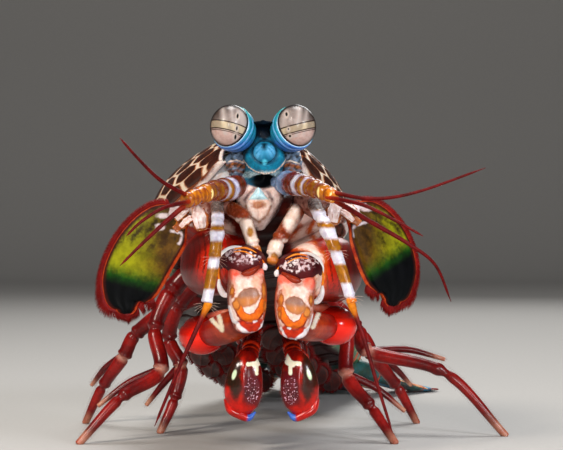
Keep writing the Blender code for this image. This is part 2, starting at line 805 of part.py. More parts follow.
# Arm and hand of maxillipeds 3 to 5, by distance from the limbs' middle plane.
FEEDING_ARMS = (
    (
        (3.6, 23.0, 33.5, 1.5, 1.5, 1.5),
        (3.4, 17.5, 26.5, 1.3, 1.3, 1.3),
        (3.0, 11.5, 20.6, 1.3, 1.3, 1.3),
        (3.4, 7.2, 18.8, 1.5, 1.4, 1.4),
        (3.7, 4.8, 17.4, 1.7, 1.4, 1.4),
    ),
    (
        (4.6, 28.0, 32.5, 1.5, 1.5, 1.5),
        (4.4, 23.6, 25.0, 1.3, 1.3, 1.3),
        (4.2, 19.6, 19.0, 1.3, 1.3, 1.3),
        (4.4, 16.0, 17.0, 1.4, 1.3, 1.3),
        (4.6, 13.6, 15.9, 1.6, 1.3, 1.3),
    ),
    (
        (5.4, 32.5, 31.5, 1.5, 1.5, 1.5),
        (5.4, 29.6, 24.0, 1.3, 1.3, 1.3),
        (5.2, 26.4, 18.0, 1.2, 1.2, 1.2),
        (5.2, 23.4, 15.9, 1.3, 1.2, 1.2),
        (5.3, 21.4, 15.0, 1.4, 1.2, 1.2),
    ),
)
FEEDING_HANDS = (
    (
        (3.9, 4.2, 18.0, 1.4, 1.1, 1.1),
        (4.3, 3.4, 15.6, 2.7, 1.6, 1.6),
        (4.7, 3.2, 12.0, 3.2, 1.8, 1.8),
        (4.8, 3.4, 9.2, 2.5, 1.4, 1.4),
        (4.6, 3.8, 7.8, 1.1, 0.8, 0.8),
    ),
    (
        (4.7, 12.8, 16.0, 1.2, 1.0, 1.0),
        (4.8, 12.2, 14.0, 2.4, 1.4, 1.4),
        (5.0, 12.0, 11.2, 2.7, 1.5, 1.5),
        (5.1, 12.4, 8.8, 1.9, 1.2, 1.2),
        (5.0, 12.8, 7.8, 0.9, 0.7, 0.7),
    ),
    (
        (5.4, 20.8, 15.0, 1.1, 0.9, 0.9),
        (5.5, 20.2, 13.2, 2.1, 1.2, 1.2),
        (5.7, 20.0, 10.8, 2.3, 1.3, 1.3),
        (5.8, 20.4, 8.6, 1.6, 1.0, 1.0),
        (5.7, 20.8, 7.7, 0.8, 0.6, 0.6),
    ),
)


def feeding_limbs():
    """The slender first maxillipeds, and three pairs of arms that each end in a flat oval hand."""
    for word, rows in MAXILLIPED_1.items():
        node(
            "maxilliped_1_" + word,
            [tube(rows, 9, 8, (0.2, 0.3, 1.0))],
            "limb_banded",
            clear_of=(
                "head",
                "front_thorax",
                "antenna_base_" + word,
                "antenna_" + word,
                "raptor_merus_right",
                "raptor_merus_left",
            ),
        )
    for side, word in ((RIGHT, "right"), (LEFT, "left")):
        for number, (arm, hand) in enumerate(zip(FEEDING_ARMS, FEEDING_HANDS), 3):
            pieces = [
                tube(mirrored(arm, side, HANDS_MIDDLE), 6, 6),
                tube(mirrored(hand, side, HANDS_MIDDLE), 7, 8, TOWARDS_FACE),
            ]
            x, y, z = hand[-1][:3]
            claw = (
                (x, y, z + 0.9, 0.8, 0.7, 0.7),
                (x - 0.9, y, z - 0.4, 0.55, 0.5, 0.5),
                (x - 2.2, y - 0.2, z + 0.3, 0.2, 0.2, 0.2),
            )
            pieces.append(tube(mirrored(claw, side, HANDS_MIDDLE), 4, 4, TOWARDS_FACE))
            node(
                f"maxilliped_{number}_{word}",
                pieces,
                "limb_red",
                clear_of=(
                    "front_thorax",
                    "raptor_merus_" + word,
                    "raptor_propodus_" + word,
                    "raptor_dactyl_" + word,
                ),
            )


LEGS = {
    "walking_leg_1_right": (
        (
            (-12.0, 40.0, 33.0),
            (-17.6, 39.0, 27.0),
            (-20.4, 37.0, 20.0),
            (-19.3, 34.0, 12.6),
            (-26.3, 30.5, 8.0),
            (-33.5, 27.5, 0.1),
        ),
        ((-19.6, 34.5, 12.8), (-25.2, 34.0, 10.4), (-30.5, 33.0, 6.4)),
    ),
    "walking_leg_1_left": (
        (
            (4.8, 40.0, 33.0),
            (11.2, 39.0, 27.0),
            (15.0, 37.0, 20.0),
            (15.1, 34.0, 11.8),
            (19.5, 31.0, 6.2),
            (23.6, 28.0, 0.1),
        ),
        ((15.3, 34.5, 12.0), (20.6, 34.5, 9.4), (25.6, 33.5, 5.4)),
    ),
    "walking_leg_2_right": (
        (
            (-12.4, 46.6, 29.5),
            (-17.0, 47.0, 24.0),
            (-18.4, 48.0, 17.5),
            (-16.2, 48.0, 12.4),
            (-17.4, 46.5, 6.2),
            (-20.0, 44.5, 0.1),
        ),
        ((-16.4, 48.6, 12.6), (-19.8, 50.0, 8.8), (-23.0, 50.6, 4.8)),
    ),
    "walking_leg_2_left": (
        (
            (4.6, 46.6, 29.5),
            (12.0, 46.8, 25.0),
            (17.6, 46.2, 19.6),
            (19.8, 45.0, 15.4),
            (34.0, 42.0, 11.6),
            (45.0, 40.0, 0.1),
        ),
        ((20.2, 45.6, 15.6), (27.0, 46.0, 15.8), (34.0, 45.5, 14.0)),
    ),
    "walking_leg_3_right": (
        (
            (-12.8, 53.0, 26.4),
            (-19.6, 54.0, 22.6),
            (-25.6, 56.0, 18.0),
            (-28.0, 57.0, 13.6),
            (-32.4, 60.0, 7.4),
            (-36.0, 62.0, 0.1),
        ),
        ((-28.2, 57.8, 13.8), (-32.0, 61.5, 11.0), (-35.0, 65.0, 7.4)),
    ),
    "walking_leg_3_left": (
        (
            (4.4, 53.0, 26.4),
            (12.0, 54.0, 22.6),
            (18.6, 56.0, 18.0),
            (21.2, 57.0, 13.6),
            (26.0, 60.0, 7.4),
            (30.0, 62.0, 0.1),
        ),
        ((21.4, 57.8, 13.8), (25.6, 61.5, 11.0), (29.0, 65.0, 7.4)),
    ),
}
LEG_GIRTH = (1.9, 1.7, 1.35, 1.35, 1.05, 0.7)
LEG_BRANCH_GIRTH = (0.8, 0.65, 0.4)


def walking_legs():
    """Three pairs of legs, each with the slim second branch that leaves it at the pale joint."""
    for name, (main, branch) in LEGS.items():
        main = [(*point, r, r, r) for point, r in zip(main, LEG_GIRTH)]
        branch = [(*point, r, r, r) for point, r in zip(branch, LEG_BRANCH_GIRTH)]
        node(
            name,
            [tube(main, 11, 6, (0.1, 1.0, 0.2)), tube(branch, 4, 5, (0.1, 1.0, 0.2))],
            "limb_red",
            clear_of=("front_thorax", *SOMITE_NAMES[:4]),
        )


def main():
    for old in list(bpy.data.objects):
        bpy.data.objects.remove(old)
    head()
    trunk()
    tail()
    feelers()
    raptorial(RIGHT, "right", lift=0.6, splay=0.3, heel_lift=0.0)
    raptorial(LEFT, "left", lift=-0.4, splay=-0.9, heel_lift=1.6)
    feeding_limbs()
    walking_legs()


main()
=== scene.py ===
"""Visible surfaces of a life-size peacock mantis shrimp, standing with its front half raised.

Lengths in the tables are millimetres on a floor at height 0, with the point midway between the eyes
above X = 0, Y = 0, the face along -Y and the animal's right side at -X. A mark on a surface is a
number kept at every point: how far inside the mark the point lies, in millimetres, below 0 outside.
The blocks of rows read (across, back, height, half width, reach above, reach below). A row may stop
earlier: a reach that it leaves out is the number before it.
"""

import math
from types import SimpleNamespace

import bpy
import numpy as np
from bpy.props import FloatProperty, FloatVectorProperty, IntProperty, PointerProperty
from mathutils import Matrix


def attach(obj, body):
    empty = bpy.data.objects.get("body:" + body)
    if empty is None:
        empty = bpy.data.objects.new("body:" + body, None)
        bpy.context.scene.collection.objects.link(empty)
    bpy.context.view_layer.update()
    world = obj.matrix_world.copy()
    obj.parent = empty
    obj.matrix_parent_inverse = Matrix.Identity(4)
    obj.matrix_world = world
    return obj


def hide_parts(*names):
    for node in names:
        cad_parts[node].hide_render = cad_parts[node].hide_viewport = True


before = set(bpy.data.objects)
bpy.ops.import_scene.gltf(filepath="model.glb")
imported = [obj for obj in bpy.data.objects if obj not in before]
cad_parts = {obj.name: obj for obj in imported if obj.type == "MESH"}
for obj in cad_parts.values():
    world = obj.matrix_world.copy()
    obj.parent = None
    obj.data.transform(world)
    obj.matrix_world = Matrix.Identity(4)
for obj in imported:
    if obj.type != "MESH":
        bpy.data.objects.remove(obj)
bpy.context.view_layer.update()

bl_info = {
    "name": "Peacock mantis shrimp",
    "version": (1, 0, 0),
    "blender": (4, 5, 0),
    "location": "View3D > Sidebar > Mantis shrimp",
    "description": "Builds the shell, limbs, feelers and eyes of a mantis shrimp around its packed solids",
    "category": "Add Mesh",
}

MM = 0.001
OUTSIDE = -9.0
ORIGIN = np.array([4.44, 61.59, 0.0])
RIGHT, LEFT = -1, 1
SIDES = ((RIGHT, "right"), (LEFT, "left"))
UP = (0.0, 0.0, 1.0)
TOWARDS_FACE = (0.0, -1.0, 0.0)
BACK = (0.0, 1.0, 0.0)

# The picture's frame: 563 x 450, one pixel of it being this many millimetres at the eyes.
PIXEL = 0.165
PICTURE_MIDDLE = (281.5, 225.0)
CAMERA_PLACE = (3.05, -300.0, 39.5)
CAMERA_SENSOR = 36.0
PICTURE_WIDTH = 92.9


def linear(code):
    """The sRGB hex colour as linear light, opaque."""
    parts = [int(code[k : k + 2], 16) / 255 for k in (1, 3, 5)]
    return (*(p / 12.92 if p <= 0.04045 else ((p + 0.055) / 1.055) ** 2.4 for p in parts), 1.0)


def unit(vectors):
    """The vectors at length 1."""
    vectors = np.asarray(vectors, float)
    return vectors / np.maximum(np.linalg.norm(vectors, axis=-1, keepdims=True), 1e-9)


def run_along(points):
    """Length of the line of points up to each of them."""
    return np.concatenate([[0], np.cumsum(np.linalg.norm(np.diff(points, axis=0), axis=1))])


def read_at(places, run, rows):
    """The rows read at those places along their run, straight between one row and the next."""
    return np.array([np.interp(places, run, column) for column in rows.T]).T


def smooth_rows(rows, count):
    """As many rows, at even steps on a cubic curve through the given ones.

    Its slope at a row is half the step from the row before to the row after.
    """
    rows = np.asarray(rows, float)
    padded = np.vstack([2 * rows[0] - rows[1], rows, 2 * rows[-1] - rows[-2]])
    place = np.linspace(0, len(rows) - 1, count)
    first = np.minimum(place.astype(int), len(rows) - 2)
    share = (place - first)[:, None]
    a, b, c, d = (padded[first + step] for step in range(4))
    return 0.5 * (
        2 * b + (c - a) * share + (2 * a - 5 * b + 4 * c - d) * share**2 + (3 * b - a - 3 * c + d) * share**3
    )


def seen(points):
    """Place of points in the picture's frame, (across, down): offsets over distance from the camera."""
    x, y, z = CAMERA_PLACE
    step = PIXEL * (points[..., 1] - y) / -y
    across = PICTURE_MIDDLE[0] + (points[..., 0] - x) / step
    return across, PICTURE_MIDDLE[1] - (points[..., 2] - z) / step


def at(across, down, back):
    """The point that shows at that place of the frame and lies that far back: the inverse of seen."""
    x, y, z = CAMERA_PLACE
    step = PIXEL * (back - y) / -y
    return (x + (across - PICTURE_MIDDLE[0]) * step, back, z + (PICTURE_MIDDLE[1] - down) * step)


def ramp(value, low, high):
    """0 below low, 1 above high, and a smooth rise between."""
    share = np.clip((value - low) / (high - low), 0, 1)
    return share * share * (3 - 2 * share)


def oval(a, b, middle, half, turn=0.0):
    """Depth inside an ellipse: 1 less the scaled distance from its middle, times its smaller half width."""
    cos, sin = math.cos(turn), math.sin(turn)
    da, db = a - middle[0], b - middle[1]
    far = np.hypot((da * cos + db * sin) / half[0], (db * cos - da * sin) / half[1])
    return (1 - far) * min(half)


def stroke(a, b, path, half):
    """Depth inside a line of that half width: the half width less the distance to the path's nearest leg."""
    least = np.full(np.broadcast(a, b).shape, np.inf)
    for (a0, b0), (a1, b1) in zip(path, path[1:]):
        long = max((a1 - a0) ** 2 + (b1 - b0) ** 2, 1e-9)
        share = np.clip(((a - a0) * (a1 - a0) + (b - b0) * (b1 - b0)) / long, 0, 1)
        least = np.minimum(least, np.hypot(a - a0 - share * (a1 - a0), b - b0 - share * (b1 - b0)))
    return half - least


def union(*marks):
    """Depth inside any of the marks: the greatest of theirs."""
    return np.max(np.broadcast_arrays(*marks), axis=0)


def only(where, mark):
    """The mark where the condition holds, and far outside it elsewhere."""
    return np.where(where, mark, OUTSIDE)


def held_back(fields, where, depth):
    """Marks kept where the condition holds, and elsewhere held that far outside."""
    return {key: np.where(where, value, np.minimum(value, -depth)) for key, value in fields.items()}


def bump(value, middle, width):
    """A bell curve: 1 at the middle, falling away over the width."""
    return np.exp(-(((value - middle) / width) ** 2))


def carry(centre, reach, tangent, sides, up=UP, power=2.0, tips=(0.0, 0.0), cap=1):
    """Section carried along a path.

    A ring stands square to the path. Its points lie at side * width * cos(angle) + top * height *
    sin(angle), drawn out to a superellipse of the given power, with its own height above and below the
    path. Each end closes over cap rings as a quarter ellipse of that tip's height, and in a pole.
    """
    turn = (np.arange(1, cap) * np.pi / 2 / cap)[:, None]
    first = centre[0] - tangent[0] * tips[0] * np.sin(turn[::-1])
    last = centre[-1] + tangent[-1] * tips[1] * np.sin(turn)
    poles = np.array([centre[0] - tangent[0] * tips[0], centre[-1] + tangent[-1] * tips[1]])
    share = np.concatenate([np.zeros(cap - 1), np.linspace(0, 1, len(centre)), np.ones(cap - 1)])
    tangent = np.vstack([np.repeat(tangent[:1], cap - 1, 0), tangent, np.repeat(tangent[-1:], cap - 1, 0)])
    reach = np.vstack([reach[0] * np.cos(turn[::-1]), reach, reach[-1] * np.cos(turn)])
    centre = np.vstack([first, centre, last])
    side = unit(np.cross(tangent, up))
    top = np.cross(side, tangent)
    angle = 2 * np.pi * np.arange(sides) / sides
    across, rise = np.cos(angle), np.sin(angle)
    across = np.sign(across) * abs(across) ** (2 / power)
    rise = np.sign(rise) * abs(rise) ** (2 / power)
    width = (reach[:, :1] * across)[..., None]
    height = (np.where(rise > 0, reach[:, 1:2], reach[:, 2:3]) * rise)[..., None]
    points = centre[:, None] + side[:, None] * width + top[:, None] * height
    return SimpleNamespace(
        points=points, poles=poles, centre=centre, tangent=tangent, share=share[:, None],
        run=run_along(centre)[:, None], angle=angle[None],
    )


def tube(rows, rings=60, sides=48, up=UP, power=2.0, nose=0.45, cap=7):
    """A limb or lump through the rows, with rounded ends as tall as nose times the narrowest reach there."""
    table = smooth_rows(rows, rings)
    while table.shape[1] < 6:
        table = np.hstack([table, table[:, -1:]])
    centre, reach = table[:, :3], np.maximum(table[:, 3:], 0.02)
    tangent = unit(np.gradient(centre, axis=0))
    return carry(centre, reach, tangent, sides, up, power, nose * reach[[0, -1]].min(axis=1), cap)


def ball(centre, semi, rings, sides, pole=0.06):
    """An ellipsoid: rings of width sin(turn) at cos(turn) of its length, the first at the pole's turn."""
    turn = np.linspace(pole, np.pi - pole, rings)[:, None]
    look = np.array(BACK)
    tip = semi[1] * (1 - math.cos(pole))
    return carry(
        np.asarray(centre, float) - look * semi[1] * np.cos(turn),
        np.array([semi[0], semi[2], semi[2]]) * np.sin(turn),
        np.repeat(look[None], rings, 0), sides, tips=(tip, tip),
    )


def outward(skin):
    """Unit normals: the cross product of the steps round each ring and from ring to ring."""
    along = np.gradient(skin.points, axis=0)
    around = np.roll(skin.points, -1, 1) - np.roll(skin.points, 1, 1)
    normal = unit(np.cross(around, along))
    away = skin.points - skin.centre[:, None]
    return normal * np.sign((normal * away).sum())


def raised(skin, relief):
    """The skin pushed out along its normals by the relief, in millimetres. The poles stay."""
    skin.points = skin.points + outward(skin) * np.broadcast_to(relief, skin.points.shape[:2])[..., None]
    return skin


def joints(place, stops, depth, width):
    """Relief of a jointed limb: a groove at each stop, and the flared lip of the segment before it."""
    relief = 0.0
    for stop in stops:
        lip = 0.6 * depth * bump(place, stop - 1.8 * width, width)
        relief = relief - depth * bump(place, stop, width) + lip
    return relief


def mirrored(rows, side, middle=0.0, back=0.0, lift=0.0):
    """Rows given by distance from a middle plane, placed on one side of it, moved back and lifted."""
    rows = np.array(rows, float)
    rows[:, 0] *= side
    rows[:, :3] += (middle, back, lift)
    return rows


def put(name, parts, finish, slot):
    """One mesh object from closed skins and the marks on each, in place of the solid of the same name."""
    points, quads, fans, marks, start = [], [], [], {key: [] for key in finish["marks"]}, 0
    for skin, fields in parts:
        rings, sides = skin.points.shape[:2]
        i, j = np.arange(rings - 1)[:, None] * sides, np.arange(sides)[None]
        k = (j + 1) % sides
        near, far = (rings - 1) * sides, rings * sides
        quad = np.stack([i + j, i + k, i + sides + k, i + sides + j], -1).reshape(-1, 4)
        j, k = j[0], k[0]
        fan = np.vstack(
            [np.stack([far + 0 * j, k, j], 1), np.stack([far + 1 + 0 * j, near + j, near + k], 1)]
        )
        flat = np.vstack([skin.points.reshape(-1, 3), skin.poles])
        corner = flat[np.vstack([quad[:, :3], quad[:, [0, 2, 3]], fan])]
        if np.einsum("ij,ij->", corner[:, 0], np.cross(corner[:, 1], corner[:, 2])) < 0:
            quad, fan = quad[:, ::-1], fan[:, ::-1]
        points.append(flat)
        quads.append(quad + start)
        fans.append(fan + start)
        start += len(flat)
        for key in marks:
            value = np.broadcast_to(fields.get(key, OUTSIDE), (rings, sides))
            ends = [value[0].mean(), value[-1].mean()]
            marks[key].append(np.concatenate([value.ravel(), ends]))
    faces = np.vstack(quads).tolist() + np.vstack(fans).tolist()
    marks = {key: np.concatenate(values) for key, values in marks.items()}
    place(name, np.vstack(points), faces, marks, finish, [name], slot)


def place(name, points, faces, marks, finish, nodes, slot):
    """The object itself: its points in metres of the frame, none below the floor, in place of solids."""
    points[:, 2] = np.maximum(points[:, 2], 0.0)
    mesh = bpy.data.meshes.new(name)
    mesh.from_pydata(((points - ORIGIN) * MM).tolist(), [], faces)
    for key, value in marks.items():
        mesh.attributes.new(key, "FLOAT", "POINT").data.foreach_set("value", value.astype(np.float32))
    mesh.materials.append(finish["material"])
    mesh.shade_smooth()
    piece = bpy.data.objects.new(name, mesh)
    bpy.context.scene.collection.objects.link(piece)
    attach(piece, "root")
    if nodes:
        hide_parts(*nodes)
    return piece


def add(tree, kind, inputs=(), **settings):
    """Adds a shader node: each input's value or the output that it is linked from, and its settings."""
    node = tree.nodes.new("ShaderNode" + kind)
    for key, value in settings.items():
        setattr(node, key, value)
    for key, value in dict(inputs).items():
        if isinstance(value, bpy.types.NodeSocket):
            tree.links.new(value, node.inputs[key])
        else:
            node.inputs[key].default_value = value
    return node


def blended(tree, share, low, high):
    """Colour between two colours, each a hex code, a linear colour or another node's output."""
    ends = [linear(c) if isinstance(c, str) else c for c in (low, high)]
    return add(tree, "Mix", {0: share, 6: ends[0], 7: ends[1]}, data_type="RGBA").outputs[2]


# Noise that makes the marks' edges ragged: its size in millimetres.
RAGGED_SIZE = 0.55
COAT_ROUGHNESS = 0.06
# Light in the shell goes this many millimetres deep, red furthest.
FLESH_DEPTH = 1.6
FLESH_REACH = (1.0, 0.25, 0.12)


def cuticle(
    name, ground, blotch=2.4, roughness=0.28, coat=0.2, flesh=0.1, pits=0.5, pit=0.5, shine=0.3, **marks
):
    """Wet crustacean shell: a mottled ground, marks laid over it by their attributes, and fine pits.

    ground is two colours that mix in blotches of that many millimetres. A mark is one or two colours, the
    softness of its edge and how far the edge wanders, both in millimetres, and later marks lie on top. pits
    is the depth of the relief, in tenths of the pit's width in millimetres. Pits, and the facets of an
    eye, are drawn coarser than the real ones, so that they show. flesh lets light through the thin shell,
    and shine is its specular level.
    """
    material = bpy.data.materials.new(name)
    material.use_nodes = True
    tree = material.node_tree
    surface = tree.nodes["Principled BSDF"]
    where = add(tree, "TexCoord").outputs["Object"]
    cloud = {"Vector": where, "Scale": 1 / (blotch * MM), "Detail": 5.0, "Roughness": 0.62}
    cloud = add(tree, "TexNoise", cloud).outputs["Fac"]
    share = add(tree, "MapRange", {"Value": cloud, "From Min": 0.36, "From Max": 0.64}).outputs["Result"]
    ragged = {"Vector": where, "Scale": 1 / (RAGGED_SIZE * MM), "Detail": 3.0}
    ragged = add(tree, "TexNoise", ragged).outputs["Fac"]
    colour = blended(tree, share, *ground)
    for attribute, (*paint, edge, wander) in marks.items():
        field = add(tree, "Attribute", attribute_name=attribute).outputs["Fac"]
        if wander:
            field = {0: ragged, 1: 4.0 * wander, 2: field}
            field = add(tree, "Math", field, operation="MULTIPLY_ADD").outputs[0]
        middle = 2.0 * wander
        inside = {"Value": field, "From Min": middle - edge, "From Max": middle + edge}
        inside = add(tree, "MapRange", inside, interpolation_type="SMOOTHSTEP").outputs["Result"]
        paint = blended(tree, share, *paint) if len(paint) == 2 else paint[0]
        colour = blended(tree, inside, colour, paint)
    cells = {"Vector": where, "Scale": 1 / (pit * MM), "Randomness": 0.9}
    cells = add(tree, "TexVoronoi", cells).outputs["Distance"]
    height = add(tree, "Math", {0: ragged, 1: 0.8, 2: cells}, operation="MULTIPLY_ADD").outputs[0]
    normal = add(tree, "Bump", {"Height": height, "Strength": 0.6, "Distance": 0.1 * pits * pit * MM})
    gloss = {"Value": cloud, "To Min": roughness * 0.7, "To Max": roughness * 1.35}
    gloss = add(tree, "MapRange", gloss).outputs["Result"]
    tree.links.new(colour, surface.inputs["Base Color"])
    tree.links.new(gloss, surface.inputs["Roughness"])
    tree.links.new(normal.outputs["Normal"], surface.inputs["Normal"])
    surface.inputs["Specular IOR Level"].default_value = shine
    surface.inputs["Coat Weight"].default_value = coat
    surface.inputs["Coat Roughness"].default_value = COAT_ROUGHNESS
    surface.inputs["Subsurface Weight"].default_value = flesh
    surface.inputs["Subsurface Radius"].default_value = FLESH_REACH
    surface.inputs["Subsurface Scale"].default_value = FLESH_DEPTH * MM
    return {"material": material, "marks": list(marks)}


def facing(skin):
    """How squarely each point faces the viewer in front: the part of its normal along -Y."""
    return -outward(skin)[..., 1]


# Eyes and head

EYE_LOOK = (0.44, -0.82, 0.37)
# Angles from that way at which the cornea ends in its cup, and at which its last ring stands.
EYE_OPEN, EYE_POLE = 1.98, 0.05
EYE_SPACING = 10.9
EYE_HEIGHT = 55.8
EYE_RADIUS = 3.3
# The band across each cornea, between two planes with this normal, at these distances from the eye's centre.
EYE_BANDS = {
    "right": ((0.235, 0.175, 1.0), -0.04, -1.32),
    "left": ((-0.25, 0.02, 1.0), 0.07, -1.08),
}
# The dark false pupils in each part of the eye: place in the frame and half size, in pixels.
FALSE_PUPILS = {
    "right": ((237.6, 116.0, 1.1, 2.5), (236.8, 128.3, 0.9, 2.1), (235.4, 137.0, 1.1, 2.6)),
    "left": ((286.5, 114.2, 1.2, 2.1), (288.4, 129.0, 0.8, 1.0), (290.0, 136.0, 1.3, 1.3)),
}
# Painted reflections, pale streaks down each cornea: place across the frame, half width, and whether it
# brightens the band.
EYE_STREAKS = {
    "right": ((224.5, 2.2, True), (233.5, 1.2, True), (243.5, 4.4, True)),
    "left": ((283.0, 2.4, True), (297.5, 2.6, False), (305.0, 1.4, True)),
}


def eye_place(side):
    """Centre of an eye, the way it looks, and the way that its upright axis leans."""
    centre = np.array([side * EYE_SPACING / 2, 0.0, EYE_HEIGHT])
    return centre, unit(np.array(EYE_LOOK) * (side, 1, 1)), (-0.14 * side, 0.0, 0.99)


def make_eyes(context):
    """Cornea: an ellipsoid on the way it looks. Cup: a section that widens towards it and ends in a lip."""
    sizes = context.scene.shrimp_sizes
    colours = context.scene.shrimp_colours
    # Corneal cuticle, clear and polished by the animal's own brushes: pale facets over dark pigment, so the
    # eye reads as a glass bead with a soft grey-pink body.
    # Painted light on the cornea: the dark crown over its top outer side, the dark rim where it turns
    # side-on to the front and the dark seam at its cup are painted shade; the pale streaks down its front,
    # and the band brightened under them, are painted reflections.
    cornea = cuticle(
        "corneal_cuticle", (tuple(colours.cornea), "#7A6C67"),
        blotch=1.1, roughness=0.3, coat=0.06, flesh=0.05, pits=0.3, pit=0.24, shine=0.2,
        lower=("#BCA299", "#A98A81", 0.3, 0.0),
        crown=("#33261F", 1.7, 0.0),
        streak=("#AA9D97", 0.6, 0.0),
        band=("#8A7B68", "#998973", 0.05, 0.0),
        band_glow=("#B9A88C", 0.35, 0.0),
        line=("#2A1A15", 0.045, 0.0),
        halo=("#B7A89D", 0.2, 0.0),
        pupil=("#060405", 0.07, 0.0),
        rim=("#160D0C", 0.5, 0.0),
        seam=("#150C0C", 0.2, 0.0),
    )
    # Eyestalk cuticle: smooth thin shell over blue pigment, teal above and violet below.
    stalk = cuticle(
        "eyestalk_cuticle", ("#1C7F96", "#2A93B4"),
        blotch=1.2, roughness=0.3, coat=0.08, pit=0.3, shine=0.25,
        above=("#0B7076", "#128A8C", 0.9, 0.0),
        below=("#2C5FAC", "#4476C0", 0.8, 0.1),
        fold=("#0C4A66", 0.12, 0.04),
        streak=("#7FA8DC", 0.12, 0.06),
        rim=("#B8D6F0", 0.06, 0.0),
        root=("#06202E", 0.7, 0.0),
    )
    for side, word in SIDES:
        centre, look, lean = eye_place(side)
        wide, tall = sizes.eye_width / MM / 2, sizes.eye_height / MM / 2
        turn = np.linspace(EYE_OPEN, EYE_POLE, 150)[:, None]
        long = (wide + tall) / 2
        skin = carry(
            centre + look * long * np.cos(turn), np.array([wide, tall, tall]) * np.sin(turn),
            np.repeat(look[None], len(turn), 0), 200, lean, tips=(0.0, long * (1 - math.cos(EYE_POLE))),
        )
        normal, top, bottom = EYE_BANDS[word]
        off = skin.points - centre
        level = off @ unit(normal)
        px, py = seen(skin.points)
        front = off[..., 1] < 0
        pupil, halo = [], []
        for a, b, wide_half, tall_half in FALSE_PUPILS[word]:
            pupil.append(oval(px, py, (a, b), (wide_half, tall_half), -0.12 * side))
            halo.append(oval(px, py, (a, b + 0.4), (wide_half + 1.1, tall_half + 1.5)))
        streak, glow = [], []
        for middle, half, bright in EYE_STREAKS[word]:
            stripe = (half - abs(px - middle + 0.12 * side * (py - 125))) * PIXEL
            streak.append(stripe - 0.1)
            glow += [stripe + 0.1] * bright
        band = np.minimum(top - level, level - bottom)
        turned_away = np.arccos(np.clip(-off[..., 1] / np.linalg.norm(off, axis=-1), -1, 1))
        fields = {
            "lower": bottom - level,
            # Painted shade: darker over the top outer side of the cornea.
            "crown": off @ unit((0.6 * side, 0.1, 0.8)) - 1.6,
            # Painted reflections: pale streaks down the front of the cornea.
            "streak": only(front & (level > bottom - 0.9), union(*streak)),
            "band": band,
            # Painted reflection: the band brighter where a streak crosses it.
            "band_glow": np.minimum(union(*glow), band),
            "line": union(
                0.10 - abs(level - top), 0.09 - abs(level - bottom), 0.06 - abs(level - bottom + 0.26)
            ),
            "halo": only(front, union(*halo) * PIXEL),
            "pupil": only(front, union(*pupil) * PIXEL),
            # Painted shade: a dark ring where the cornea turns side-on to the front.
            "rim": (0.33 - abs(turned_away - 1.47)) * EYE_RADIUS,
            # Painted shade: dark where the cornea meets its cup.
            "seam": (0.50 - 1.93 * skin.share) * EYE_RADIUS,
        }
        put("eye_" + word, [(skin, fields)], cornea, "eye")
        # Cup: how far behind the eye's centre each row stands, then its half width and reach.
        cup = ((4.0, 2.4, 2.6), (2.6, 3.4, 3.5), (1.3, 3.62, 3.8), (0.5, 3.42, 3.72), (0.25, 3.32, 3.62))
        cup = [
            (side * 1.9, 4.2, 52.8, 1.5, 1.5),
            *((*(centre - look * behind), *reach) for behind, *reach in cup),
        ]
        skin = tube(cup, 60, 96, lean, nose=0.0)
        normal = outward(skin)
        depth = (skin.points - centre) @ look
        skin = raised(skin, 0.10 * bump(depth, -0.55, 0.22) - 0.08 * bump(depth, -1.05, 0.2))
        fields = {
            "above": normal[..., 2] * 3 - 1.2,
            "below": -normal[..., 2] * 3 - 1.4,
            "fold": 0.12 - np.minimum(abs(depth + 1.75), abs(depth + 2.9)),
            "streak": 0.07 - abs(depth + 1.2 + 0.1 * np.sin(5 * skin.angle)),
            "rim": depth + 0.31 - 0.5 * np.clip(normal[..., 2] - 0.3, 0, 1),
            "root": -depth - 3.6,
        }
        put("eyestalk_" + word, [(skin, fields)], stalk, "head_blue")


HEAD_ROWS = (
    (0.1, 4.8, 55.8, 1.6, 1.2, 1.6),
    (0.1, 4.6, 55.3, 2.3, 2.4, 2.6),
    (0.1, 4.5, 54.6, 2.4, 3.2, 3.4),
    (0.2, 4.6, 53.7, 2.5, 3.8, 3.8),
    (0.2, 4.8, 52.6, 3.1, 4.7, 4.0),
    (0.2, 4.8, 51.4, 3.6, 5.1, 4.2),
    (0.2, 4.8, 50.2, 3.7, 5.0, 4.2),
    (0.1, 4.8, 49.0, 3.2, 4.6, 4.2),
    (0.0, 4.8, 47.9, 3.3, 3.9, 4.2),
    (-0.2, 4.8, 46.6, 3.8, 3.0, 4.4),
    (-0.4, 4.8, 45.3, 4.0, 3.1, 4.6),
    (-0.7, 4.8, 43.8, 3.9, 3.5, 4.8),
    (-0.8, 4.9, 42.2, 3.4, 3.7, 4.6),
    (-0.9, 5.0, 40.8, 2.6, 3.2, 4.0),
    (-0.9, 5.4, 39.4, 1.4, 2.2, 2.8),
)
BEAD_LINE = ((244, 160), (249, 167), (256, 171.5), (265, 173.5), (274, 172), (281, 166), (286, 158))


